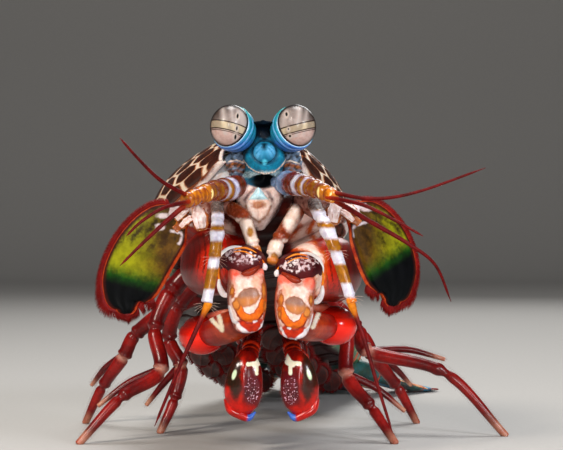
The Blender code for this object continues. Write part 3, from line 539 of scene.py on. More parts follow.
def make_head(context):
    """Face: a section carried down from between the eyes to the lip, its front raised by its marks."""
    colours = context.scene.shrimp_colours
    # Head cuticle: thin hard shell, blue over dark tissue, with chalky calcified edges round the mouth.
    # Painted shade on the face: the hollow under the bead line near black, and dark crevices beside the boss
    # and in the creases of the cheeks.
    finish = cuticle(
        "head_cuticle", (tuple(colours.head_blue), "#0D4257"),
        blotch=1.1, roughness=0.5, coat=0.03, pits=1.6, pit=0.26, shine=0.12,
        cheek=("#76879C", "#46586C", 0.3, 0.12),
        cheek_bar=("#6A3212", "#9A5A2A", 0.3, 0.15),
        teal=("#127C9C", "#0A5C78", 0.5, 0.2),
        boss_edge=("#052C40", 0.3, 0.0),
        boss=("#1A7CA0", "#10607F", 0.12, 0.0),
        boss_lobe=("#66AED6", "#3A86B2", 0.6, 0.3),
        boss_ray=("#0F5878", "#1A7294", 0.5, 0.3),
        boss_tip=("#5FD4EE", 0.25, 0.06),
        navy=("#02070D", "#051220", 0.35, 0.1),
        crevice=("#1A2026", "#2E2822", 0.4, 0.1),
        face=("#E8D0C8", "#CBA598", 0.4, 0.15),
        shade=("#3A1410", "#240A08", 0.5, 0.15),
        pale_band=("#8FA6AC", "#3E545C", 0.2, 0.2),
        bead=("#D2BCAC", "#9C9086", 0.07, 0.03),
        lip=("#EBD6CC", "#DDB9AA", 0.15, 0.05),
        arm=("#74585A", "#4E3A3C", 0.45, 0.15),
        epistome=("#C9E4E8", "#A4C8D0", 0.12, 0.04),
        brown=("#8A5038", "#B07A58", 0.25, 0.12),
        hollow=("#020507", 0.3, 0.0),
    )
    skin = tube(HEAD_ROWS, 190, 200, TOWARDS_FACE, 2.2)
    px, py = seen(skin.points)
    front = ramp(facing(skin), 0.05, 0.5)
    far = np.hypot(px - 264.5, py - 152.0) / 10.6
    heart = 0.35 * bump(px, 264.3, 2.6) * bump(py, 143.5, 3.4)
    rays = np.cos(17 * np.arctan2(px - 264.5, py - 146))
    boss = 0.72 * np.sqrt(np.clip(1 - far**2, 0, 1)) - heart + 0.015 * rays * bump(far, 0.65, 0.3)
    swell = sum(0.4 * bump(np.hypot(px - a, py - b), 0, 5.0) for a, b in ((249.5, 156), (280, 155.5)))
    line = stroke(px, py, BEAD_LINE, 1.5) * PIXEL
    bead_wave = 0.6 + 0.4 * np.cos(2 * np.pi * (px + 0.35 * py) / 2.7)
    # Painted shadow: the hollow under the bead line, near black and dented.
    hollow = oval(px, py, (264, 181.5), (14.5, 6.4))
    lip = oval(px, py, (258.5, 207), (14.5, 14.5)) * PIXEL
    half = np.clip((py - 185.5) * 0.62, 0, 9.5)
    epistome = np.minimum(half - abs(px - 258.5), np.minimum(py - 186, 200 - py)) * PIXEL
    arms = (((254, 189), (250, 194), (246, 200)), ((263, 189), (267, 193), (271, 199)))
    arm = union(*(stroke(px, py, path, 1.6) for path in arms))
    pale = np.minimum(py - 171.0, 178.0 - py)
    relief = (
        boss
        + swell
        - 0.28 * bump(far, 1.14, 0.09)
        + 0.22 * bump(line, 0.25, 0.16) * bead_wave
        - 2.4 * np.clip(hollow / 6.4 + 0.1, 0, 1) ** 0.8
        + 0.55 * ramp(epistome, -0.2, 0.5)
        + 0.35 * bump(px, 258.5, 1.4) * ramp(epistome, 0.0, 0.3)
        + 0.45 * ramp(lip, -0.3, 0.8)
        - 0.22 * bump(px, 259, 1.0) * ramp(lip, 0.3, 0.9)
        + 0.18 * bump(arm, 1.0, 1.2)
        + 0.12 * np.sin(py * 2.3 + np.sin(px)) * np.sin(px * 1.9) * ramp(pale, -0.5, 1.5)
    )
    skin = raised(skin, relief * front)
    ray = 0.4 * rays * bump(far, 0.6, 0.4) - 0.3
    crown = 138.5 - py + 1.2 * np.cos((px - 264) * 0.5)
    teal = stroke(px, py, ((248, 155), (254, 165), (264, 169), (275, 165), (281, 155)), 5.5)
    # Painted shade: dark crevices beside the boss.
    crevices = (((252, 142), (247, 150), (244, 157)), ((277, 142), (282, 150), (286, 156)))
    lobes = union(oval(px, py, (259, 153), (4.5, 7.5), 0.35), oval(px, py, (270.5, 152.5), (5, 7), -0.35))
    fields = {
        "teal": np.minimum(teal, 170.5 - py) * PIXEL,
        "navy": union(crown * 0.17, stroke(px, py, ((264.3, 145.0), (264.3, 148.5)), 2.0) * PIXEL),
        "crevice": union(*(stroke(px, py, path, 1.6) for path in crevices)) * PIXEL,
        "boss": (1 - far) * 1.7,
        "boss_edge": 0.28 - abs(far - 1.08) * 1.7,
        "boss_ray": only(far < 0.95, ray),
        "boss_lobe": lobes * PIXEL - 0.2,
        "boss_tip": oval(px, py, (264.6, 162), (2.4, 2.6)) * PIXEL,
        "face": np.minimum(py - 186.0, 30.0 - abs(px - 259)) * PIXEL,
        "shade": union(
            stroke(px, py, ((284, 188), (285, 200), (277, 215), (270, 230)), 4.5),
            stroke(px, py, ((236, 205), (244, 222), (254, 231)), 4.0),
        ) * PIXEL,
        "pale_band": pale * 0.13,
        "bead": line - 0.12 - 0.07 * (1 - bead_wave),
        "hollow": hollow * PIXEL,
        "lip": lip,
        "arm": arm * PIXEL,
        "epistome": epistome,
        "brown": union(
            oval(px, py, (258.5, 205), (7.0, 4.0)),
            stroke(px, py, ((247, 206), (252, 216), (259, 222), (266, 214), (270, 206)), 1.0),
        ) * PIXEL,
    }
    fields = held_back(fields, front > 0.02, 0.3)
    fields["navy"] = union(fields["navy"], only((front <= 0.02) & (py < 139), 1.0))
    parts = [(skin, fields)]
    for across, down in ((237.0, 163.0), (291.0, 163.5)):
        cheek = ball(at(across, down, 5.2), (1.85, 2.6, 2.6), 60, 80)
        px, py = seen(cheek.points)
        crease = np.sin(py * 0.7 + 1.5 * np.sin(px * 0.5)) * np.sin(px * 0.45 + py * 0.3)
        cheek = raised(cheek, 0.13 * crease + 0.07 * np.sin(px * 1.3 + py) + 0.05 * np.sin(py * 3.1))
        bar = union(
            stroke(px, py, ((across - 9, down + 3), (across - 2, down + 1), (across + 8, down + 4)), 2.2),
            stroke(px, py, ((across - 9, down + 9), (across, down + 7), (across + 8, down + 10)), 1.2),
        )
        thread = stroke(px, py, ((across - 9, down - 1), (across - 1, down - 3), (across + 8, down)), 0.7)
        # Painted shade: the cheek darker in its creases, where its relief dips.
        fields = {
            "cheek": 1.0, "cheek_bar": bar * PIXEL, "crevice": -0.25 - 0.5 * crease, "bead": thread * PIXEL
        }
        parts.append((cheek, fields))
    put("head", parts, finish, "head_blue")


# Carapace and trunk

CARAPACE = (
    (-0.5, 5.9, 50.4, 6.2, 5.2, 0.8),
    (-1.0, 10.0, 47.6, 9.8, 7.8, 1.4),
    (-1.7, 16.0, 44.2, 14.0, 10.4, 2.0),
    (-2.4, 23.0, 41.6, 16.8, 12.2, 2.4),
    (-3.0, 30.0, 40.0, 17.3, 12.4, 2.6),
    (-3.6, 38.4, 38.2, 16.6, 11.2, 1.6),
)
CARAPACE_ARCH = 1.85
BODY = (
    (-3.5, 36.2, 39.2, 14.4, 8.6, 8.6),
    (-4.1, 46.0, 34.4, 14.6, 8.2, 7.6),
    (-4.4, 56.0, 29.2, 15.0, 8.0, 6.6),
    (-4.0, 66.0, 24.6, 15.6, 7.8, 6.0),
    (-2.7, 77.0, 20.6, 16.0, 7.6, 5.6),
    (-0.5, 88.0, 17.2, 16.0, 7.4, 5.2),
    (2.4, 99.0, 14.4, 15.8, 7.0, 4.8),
    (5.8, 109.5, 11.9, 15.0, 6.4, 4.4),
    (8.6, 118.0, 10.0, 12.8, 4.6, 3.4),
)
SOMITE_EDGES = (36.6, 43.2, 49.6, 56.0, 66.0, 77.0, 88.0, 99.0, 109.5, 118.0)
SOMITE_NAMES = ("thorax_6", "thorax_7", "thorax_8", *(f"abdomen_{k}" for k in range(1, 7)))
SWIMMING_RINGS = SOMITE_NAMES[3:8]


def body_path(back):
    """Centre, reach and direction of the trunk at that distance back."""
    dense = smooth_rows(BODY, 400)
    along = unit(np.gradient(dense[:, :3], axis=0))
    centre, reach, tangent = (
        read_at(back, dense[:, 1], rows) for rows in (dense[:, :3], dense[:, 3:], along)
    )
    return centre, reach, unit(tangent)


def leopard(a, b, seed):
    """Net between cells: half the difference of the distances to the two nearest of scattered seeds."""
    a, b = np.broadcast_arrays(a, b)
    scatter = np.random.default_rng(seed)
    rows, columns = np.meshgrid(np.arange(-3.0, 30.0, 3.2), np.arange(-30.0, 31.0, 3.2))
    rows[1::2] += 1.6
    seeds = np.stack([rows.ravel(), columns.ravel()], 1) + scatter.uniform(-0.55, 0.55, (rows.size, 2))
    gaps = np.hypot(a.reshape(-1, 1) - seeds[:, 0], b.reshape(-1, 1) - seeds[:, 1])
    nearest = np.partition(gaps, 1, axis=1)
    return ((nearest[:, 1] - nearest[:, 0]) / 2).reshape(a.shape)


def freckles(a, b, spacing, seed):
    """Round dots: the radius of each less the distance to its centre, on a grid shaken by chance."""
    shake = np.random.default_rng(seed).uniform(0.0, 1.0, (3, 64, 64))
    u, v = a / spacing + 20.0, b / spacing + 20.0
    i, j = u.astype(int) % 64, v.astype(int) % 64
    gap = np.hypot(
        u - np.floor(u) - 0.3 - 0.4 * shake[0, i, j], v - np.floor(v) - 0.3 - 0.4 * shake[1, i, j]
    )
    return (0.26 * shake[2, i, j] - gap) * spacing


def make_carapace(context):
    """Carapace: an arch over each row, of height sin(turn) and width cos(turn), its free edges rolled in."""
    sizes = context.scene.shrimp_sizes
    colours = context.scene.shrimp_colours
    # Carapace cuticle: calcified and waxy, olive along the back, dark cells in a cream net at the sides.
    finish = cuticle(
        "carapace_cuticle", (tuple(colours.shell_cream), "#D9BFA2"),
        blotch=1.8, roughness=0.32, coat=0.12, pit=0.45,
        back=("#6B6A2C", "#4A4F22", 3.0, 0.4),
        cell_edge=("#B5622B", "#8A4A20", 0.12, 0.06),
        cell=(tuple(colours.shell_dark), "#40190D", 0.12, 0.06),
        saddle=("#5A5A26", "#3E4420", 2.4, 0.5),
        line=("#8A5A34", "#6A3E20", 0.14, 0.05),
        margin=("#EFE2DA", "#D6BEB8", 0.12, 0.08),
        margin_line=("#5A2412", "#8A4420", 0.1, 0.06),
    )
    rings, arch, drop = 170, 220, 16
    table = smooth_rows(CARAPACE, rings)
    angle = np.linspace(0, np.pi, arch)
    wide, tall, hang = (table[:, k : k + 1] for k in (3, 4, 5))
    hang = hang * ramp(table[:, 1:2], 5.5, 9.0)
    down = np.linspace(1, 0, drop, endpoint=False)
    roll = 0.9 * np.clip(down - 0.5, 0, 1) ** 2 * 2
    x = np.hstack([
        wide - roll,
        wide * np.sign(np.cos(angle)) * abs(np.cos(angle)) ** (2 / CARAPACE_ARCH),
        -(wide - roll[::-1]),
    ])
    z = np.hstack([-hang * down, tall * np.sin(angle) ** (2 / CARAPACE_ARCH), -hang * down[::-1]])
    points = table[:, None, :3] + np.stack([x, np.zeros_like(x), z], -1)
    step = np.linalg.norm(np.diff(points, axis=1), axis=-1)
    around = np.hstack([np.zeros((rings, 1)), np.cumsum(step, axis=1)])
    around = around - around[:, -1:] / 2
    half = around[:, -1:]
    share = around / half
    run = run_along(table[:, :3])[:, None]
    length = run[-1, 0]
    cell = leopard(run / 1.75, share * 24.0, 11)
    from_side = half - abs(around)
    edge = np.minimum(from_side, run + 0.15)
    groove = bump(abs(share), 0.30 + 0.05 * np.sin(run / 7), 0.012)
    cross = run - length * 0.66 - 6.4 * share**2
    cervical = bump(cross, 0, 0.35) * (abs(share) < 0.8)
    relief = (
        0.14 * bump(edge, 0.5, 0.25)
        - 0.12 * bump(edge, 1.1, 0.3)
        - 0.30 * groove * ramp(run, 3, 8)
        - 0.26 * cervical
        + 0.28 * bump(length - run, 0.7, 0.5)
        - 0.2 * bump(length - run, 1.8, 0.45)
        + 0.10 * ramp(cell, 0.1, 0.6)
    )
    along_step, around_step = np.gradient(points, axis=0), np.gradient(points, axis=1)
    normal = unit(np.cross(along_step, around_step))
    normal *= np.sign((normal * (points - table[:, None, :3])).sum())
    points = points + normal * relief[..., None]
    lateral = ramp(abs(share), 0.30, 0.55)
    fade = (1 - lateral) * 1.4 + 0.35 * ramp(run, 24, 34)
    fields = {
        "back": (0.34 - abs(share)) * 14,
        "cell": cell - 0.36 - fade,
        "cell_edge": cell - 0.24 - fade,
        "saddle": (0.16 - abs(share)) * 12 + 0.8 * bump(run, 14, 5),
        "line": union(0.12 - abs(cross), 0.12 - abs(abs(share) - 0.30) * 24),
        "margin": union(0.5 - from_side, only(abs(share) > 0.35, 0.4 - run)),
        "margin_line": union(0.16 - abs(edge - 0.72), 0.22 - abs(length - run - 0.3)),
    }
    count = points.shape[1]
    i, j = np.arange(rings - 1)[:, None] * count, np.arange(count - 1)[None]
    faces = np.stack([i + j, i + j + 1, i + count + j + 1, i + count + j], -1).reshape(-1, 4)
    probe = np.cross(points[1, 0] - points[0, 0], points[0, 1] - points[0, 0])
    faces = faces if np.dot(probe, normal[0, 0]) > 0 else faces[:, ::-1]
    marks = {key: np.broadcast_to(value, (rings, count)).ravel() for key, value in fields.items()}
    points, faces = points.reshape(-1, 3), faces.tolist()
    piece = place("carapace", points, faces, marks, finish, ["carapace"], "spotted_shell")
    wall = piece.modifiers.new("wall", "SOLIDIFY")
    wall.thickness = sizes.shell_thickness
    wall.offset = -1.0
    wall.use_even_offset = True
    wall.use_quality_normals = True
    make_front_core()


def make_front_core():
    """Flesh under the carapace: the arch's own section, a little smaller, carried back to the first ring."""
    # Joint membrane: thin leathery skin between the plates, dark red-brown and wet.
    # Its dark mark is painted shade, low on the flesh and between the striking limbs.
    membrane = cuticle(
        "joint_membrane", ("#3A0E0A", "#5E1A10"),
        blotch=1.8, roughness=0.4, coat=0.0, pit=0.6, shine=0.2,
        red=("#6E1006", "#98200A", 1.0, 0.4),
        pale=("#BCC4CC", "#A88C80", 0.5, 0.3),
        pink=("#EBC8B8", "#D9A08A", 0.5, 0.3),
        orange=("#C8561A", "#A83C10", 0.4, 0.3),
        dark=("#240806", "#38100A", 0.8, 0.3),
    )
    core = smooth_rows(CARAPACE, 21)
    core = core[core[:, 1] > 8.0]
    core[:, 3:5] -= 1.45
    core[:, 4] -= np.interp(core[:, 1], (30, 38), (0.0, 1.7))
    core[:, 5] = np.interp(core[:, 1], (8, 16, 30, 38), (6.2, 7.4, 9.4, 9.0))
    core = np.vstack([core, core[-1] + (-0.3, 2.2, -1.4, -3.2, -2.4, -2.4)])
    skin = tube(core, 60, 96, power=CARAPACE_ARCH, nose=0.25)
    skin = raised(skin, 0.25 * np.sin(skin.run * 1.6) * ramp(-np.sin(skin.angle), 0.2, 0.6))
    height = skin.points[..., 2]
    px, py = seen(skin.points)
    fields = {
        "pale": height - 43.5 - 0.12 * skin.points[..., 1],
        "red": 40.0 - height,
        "pink": union(oval(px, py, (304, 226), (18, 25)), oval(px, py, (226, 236), (9, 14))) * PIXEL,
        "orange": union(
            stroke(px, py, ((290, 212), (300, 226), (288, 240)), 2.6),
            stroke(px, py, ((318, 215), (308, 232), (320, 244)), 2.6),
        ) * PIXEL,
        # Painted shade: dark low down and in the gap between the striking limbs.
        "dark": union(28.0 - height, oval(px, py, (272, 250), (16, 50)) * PIXEL),
    }
    put("front_thorax", [(skin, fields)], membrane, "limb_red")


def tergite():
    """Back-plate cuticle: calcified, waxy, olive with dark cross bands and a red-orange rear edge."""
    # Painted shade on it: the dark red underside, the olive-brown wall at the rear of each ring, and the
    # darkened red of the swimming legs.
    return cuticle(
        "tergite_cuticle", ("#4C5A26", "#2C4024"),
        blotch=2.2, roughness=0.38, coat=0.05, pits=0.8, shine=0.35,
        flank=("#2E5A4A", "#3F6A3A", 1.4, 0.4),
        bar=("#26301A", "#3A2A18", 0.5, 0.35),
        fleck=("#8E9A4A", "#A8A45A", 0.2, 0.2),
        spot=("#1A1210", "#3A1A12", 0.25, 0.12),
        edge=("#A8402A", "#C85A2C", 0.16, 0.1),
        lip=("#7A6238", "#4E3E22", 0.12, 0.05),
        paddle=("#4A0E0A", "#2C0806", 0.9, 0.3),
        vein=("#8A2A14", "#6A1A10", 0.1, 0.05),
        belly=("#380C08", "#240706", 0.6, 0.3),
    )


def make_trunk(context):
    """Trunk rings: the trunk's own section from one edge to the next, swollen behind, with side flaps."""
    sizes = context.scene.shrimp_sizes
    plate = tergite()
    fringe = bristle_finish()
    hairs = []
    for name, front, rear in zip(SOMITE_NAMES, SOMITE_EDGES, SOMITE_EDGES[1:]):
        back = np.linspace(front - 0.5, rear - 0.15, 46)
        centre, reach, tangent = body_path(back)
        share = np.linspace(0, 1, len(back))
        swell = np.interp(share, (0, 0.12, 0.5, 0.88, 1.0), (0.90, 0.95, 1.0, 1.03, 1.0))
        skin = carry(centre, reach * swell[:, None], tangent, 168, UP, 2.4)
        run = skin.run
        length = run[-1, 0]
        low = np.minimum(abs(skin.angle - np.pi * 1.5), np.pi)
        flap = low - 0.98
        tapered = ramp(share[:, None], 0.05, 0.3)
        relief = (
            0.34 * bump(length - run, 0.55, 0.42)
            - 0.30 * bump(length - run, 1.35, 0.3)
            + 0.55 * bump(flap, 0.12, 0.16) * tapered
            - 0.75 * ramp(-flap, -0.02, 0.22) * tapered
            - 0.20 * bump(abs(skin.angle - np.pi / 2), 0.9, 0.035) * ramp(share[:, None], 0.1, 0.4)
        )
        if name == "abdomen_6":
            for place_at in (0.0, 0.32, 0.66, 0.98):
                keel = bump(abs(skin.angle - np.pi / 2), place_at, 0.06)
                relief = relief + 0.75 * keel * ramp(share[:, None], 0.15, 0.9)
        skin = raised(skin, relief)
        around = abs(skin.angle - np.pi / 2)
        above = ramp(flap, -0.05, 0.1)
        spot = union(
            oval(around, run / length, (0.30, 0.5), (0.07, 0.16)),
            oval(around, run / length, (1.22, 0.55), (0.06, 0.14)),
        ) * 8
        fields = {
            # Painted shade: the underside dark red.
            "belly": (-flap + 0.12) * 6,
            "flank": (around - 1.05) * 7,
            "bar": np.minimum(1.1 - abs(run - length * 0.42) * 2.4, (1.2 - around) * 6),
            "fleck": 0.5 * np.sin(around * 17 + 2 * np.sin(run)) * np.sin(run * 2.1) - 0.36,
            "spot": spot - (1 - above) * 9,
            "edge": 0.85 - abs(length - run - 0.75) * 1.6 - (1 - above) * 9,
            # Painted shade: an olive-brown wall at the rear of the ring, and the same along the flap's edge.
            "lip": union(0.3 - (length - run), 0.2 - abs(flap - 0.05) * 9),
        }
        parts = [(skin, fields)]
        if name in SWIMMING_RINGS:
            for side in (RIGHT, LEFT):
                stem, *blades = pleopod_rows(front, rear, side)
                skins = [tube(stem, 14, 24, TOWARDS_FACE)]
                for rows in blades:
                    skin = tube(rows, 30, 36, TOWARDS_FACE, power=1.7)
                    skins.append(raised(skin, 0.12 * bump(abs(np.cos(skin.angle)), 0.0, 0.12)))
                    for part in (1.5, 1.1):
                        hairs.append(
                            leaf_fringe(rows, TOWARDS_FACE, sizes.tail_bristles, part, 0.045, droop=0.8)
                        )
                for skin in skins:
                    # The swimming legs: their own red darkened as painted shade, darker towards the body.
                    vein = 0.12 * np.cos(np.cos(skin.angle) * 22) - 0.1 * skin.share
                    parts.append((skin, {"paddle": 1.0, "belly": 0.5 - skin.share, "vein": vein}))
        put(name, parts, plate, "green_shell")
    bristles("pleopod_bristles", hairs, fringe, "tail_fan")


def pleopod_rows(front, rear, side):
    """Stem, outer and inner paddle of a swimming leg, under the ring between those edges and laid back."""
    centre, reach, _ = body_path(np.array([(front + rear) / 2]))
    x, y, z = centre[0] - (0, 2.0, reach[0, 2])
    stem = ((8.0, 0.0, 2.0, 1.5), (8.4, 1.0, -2.2, 1.2))
    outer = ((8.6, 1.0, -1.6, 1.1, 0.8), (9.9, 4.0, -3.8, 2.5, 0.5), (10.2, 7.0, -6.0, 1.4, 0.35))
    inner = ((7.8, 1.0, -1.6, 1.1, 0.8), (5.5, 3.6, -3.8, 2.2, 0.5), (4.8, 6.4, -5.8, 1.2, 0.35))
    return [mirrored(rows, side, x, y, z) for rows in (stem, outer, inner)]


def bristle_finish():
    """Chitin bristles: fine, springy and translucent, red at the root and paler at the tip."""
    return cuticle(
        "bristle_chitin", ("#5E0607", "#7A0A0A"),
        blotch=2.0, roughness=0.42, coat=0.0, flesh=0.0, pits=0.1, shine=0.14,
        tip=("#6E0C0A", "#8A1612", 0.5, 0.0),
    )


def leaf_fringe(rows, up, count, length, thick, start=0.15, end=1.0, droop=0.25):
    """Roots and directions of bristles along the edges of a flat leaf: out sideways, leaning to its tip."""
    steps = 160
    stretch = slice(int(steps * start), int(steps * end))
    table = smooth_rows(rows, steps)
    tangent = unit(np.gradient(table[:, :3], axis=0))
    side = unit(np.cross(tangent, up))
    top = np.cross(side, tangent)
    found = []
    for sign in (1, -1):
        edge = table[:, :3] + sign * side * table[:, 3:4]
        edge = np.vstack([edge[stretch], table[-1:, :3] + tangent[-1:] * table[-1, 3] * 0.45])
        run = run_along(edge)
        place_at = np.linspace(0, run[-1], count)
        root = read_at(place_at, run, edge)
        lead = unit(read_at(place_at, run, np.gradient(edge, axis=0)))
        lift = read_at(place_at, run, np.vstack([top[stretch], top[-1:]]))
        out = unit(np.cross(lead, lift)) * sign
        found.append((root, unit(out + droop * lead), lead, length, thick))
    return found


# In the bristles' map: height of the strip of one edge, and half width of a bristle's patch on it.
STRIP = 0.009
PATCH_HALF = 0.0015


def bristles(name, groups, finish, slot, seed=5):
    """Tapered three-sided bristles as one mesh: root + length * (t * direction + t * t * bend), closed.

    They are drawn thicker and fewer than real ones, so that each is a solid that shows. In their map each
    edge that carries them is a strip, and a bristle's patch lies at its root's place.
    """
    scatter = np.random.default_rng(seed)
    points, faces, tips, maps, start = [], [], [], [], 0
    share = np.array([0.0, 0.35, 0.7])
    for group in groups:
        for root, way, lead, length, thick in group:
            count = len(root)
            long = length * scatter.uniform(0.82, 1.08, (count, 1))
            way = unit(way + scatter.normal(0, 0.045, (count, 3)))
            side = unit(np.cross(way, lead + 0.3))
            top = np.cross(side, way)
            angle = 2 * np.pi * np.arange(3) / 3
            spread = side[:, None] * np.cos(angle)[:, None] + top[:, None] * np.sin(angle)[:, None]
            curve = share[:, None] * way[:, None] + 0.18 * share[:, None] ** 2 * lead[:, None]
            line = root[:, None] + long[:, None] * curve
            rings = line[:, :, None] + spread[:, None] * thick * (1 - 0.75 * share)[None, :, None, None]
            tip = root + long * (way + 0.18 * lead)
            block = np.concatenate([rings.reshape(count, 9, 3), tip[:, None]], axis=1)
            j = np.arange(3)
            k = (j + 1) % 3
            wall = [np.stack([a + j, a + k, a + 3 + k, a + 3 + j], 1) for a in (0, 3)]
            fans = np.stack([6 + j, 6 + k, 9 + 0 * j], 1)
            base = np.arange(count)[:, None, None] * 10 + start
            faces += (np.vstack(wall) + base).reshape(-1, 4).tolist()
            faces += (fans + base).reshape(-1, 3).tolist()
            faces += (np.array([[2, 1, 0]]) + base).reshape(-1, 3).tolist()
            points.append(block.reshape(-1, 3))
            tips.append(np.tile(np.concatenate([np.repeat(share - 0.45, 3), [0.55]]), count))
            patch = np.stack([np.tile(np.cos(angle), 3), np.repeat(share * 2 - 1, 3)], 1)
            patch = PATCH_HALF * np.vstack([patch, [[0, 1]]])
            k = np.arange(count)
            place_at = np.stack([0.01 + 0.97 * k / count, 0.01 + STRIP * len(maps) + 0.004 * (k % 2)], 1)
            maps.append((place_at[:, None] + patch).reshape(-1, 2))
            start += count * 10
    piece = place(name, np.vstack(points), faces, {"tip": np.concatenate(tips)}, finish, [], slot)
    mesh = piece.data
    corner = np.zeros(len(mesh.loops), int)
    mesh.loops.foreach_get("vertex_index", corner)
    layer = mesh.uv_layers.new(name="OFBake")
    layer.data.foreach_set("uv", np.vstack(maps)[corner].ravel())


# Tail fan

TAIL_YAW = math.radians(18.0)
# Spines along the outer edge of each uropod.
EDGE_SPINES = 9


def in_tail(rows):
    """Rows given across and along the tail fan, turned to the way that the fan points."""
    centre = body_path(np.array([SOMITE_EDGES[-1]]))[0][0]
    rows = np.array(rows, float)
    across, along = rows[:, 0].copy(), rows[:, 1].copy()
    rows[:, 0] = centre[0] + across * math.cos(TAIL_YAW) + along * math.sin(TAIL_YAW)
    rows[:, 1] = centre[1] - across * math.sin(TAIL_YAW) + along * math.cos(TAIL_YAW)
    return rows


TELSON_PLATE = (
    (0.0, 0.5, 9.6, 11.3, 3.2, 2.4),
    (0.0, 6.0, 7.0, 12.2, 3.4, 2.2),
    (0.0, 12.0, 4.4, 11.4, 2.8, 1.9),
    (0.0, 17.0, 2.2, 9.4, 2.1, 1.4),
    (0.0, 20.5, 0.8, 6.4, 1.3, 1.0),
)
TELSON_KEEL = ((0.0, 2.0, 11.5, 0.5, 0.9), (0.0, 9.0, 8.6, 0.9, 1.1), (0.0, 18.5, 3.6, 0.3, 0.5))
TELSON_RIDGE = ((5.0, 3.0, 10.8, 0.4, 0.7), (5.4, 9.0, 8.2, 0.7, 0.9), (4.6, 17.5, 3.4, 0.3, 0.5))
# Root and tip of each tooth.
TELSON_TEETH = (
    ((4.0, 17.5, 1.9), (4.5, 24.2, 0.3)),
    ((8.0, 15.0, 2.8), (9.8, 21.4, 0.4)),
    ((10.2, 9.0, 5.0), (13.0, 16.2, 1.8)),
)
UROPOD_STEM = ((10.4, -3.0, 7.8, 2.2, 2.0), (13.6, 1.6, 6.2, 2.4, 2.0), (15.0, 5.6, 4.4, 1.8, 1.5))
UROPOD_OUTER = (
    (15.6, 5.0, 4.4, 1.4, 0.9),
    (18.8, 10.0, 3.0, 2.6, 0.9),
    (20.8, 15.8, 1.5, 2.3, 0.7),
    (21.8, 20.5, 0.7, 3.0, 0.55),
    (21.9, 25.4, 0.4, 1.5, 0.45),
)
UROPOD_INNER = ((14.4, 5.0, 4.2, 1.2, 0.8), (16.4, 12.5, 2.2, 2.1, 0.6), (17.2, 20.5, 0.5, 1.2, 0.45))
UROPOD_SPINE = ((13.6, 4.0, 4.0, 1.2, 0.9), (13.4, 10.0, 2.0, 0.9, 0.7), (13.8, 17.0, 0.4, 0.25, 0.25))


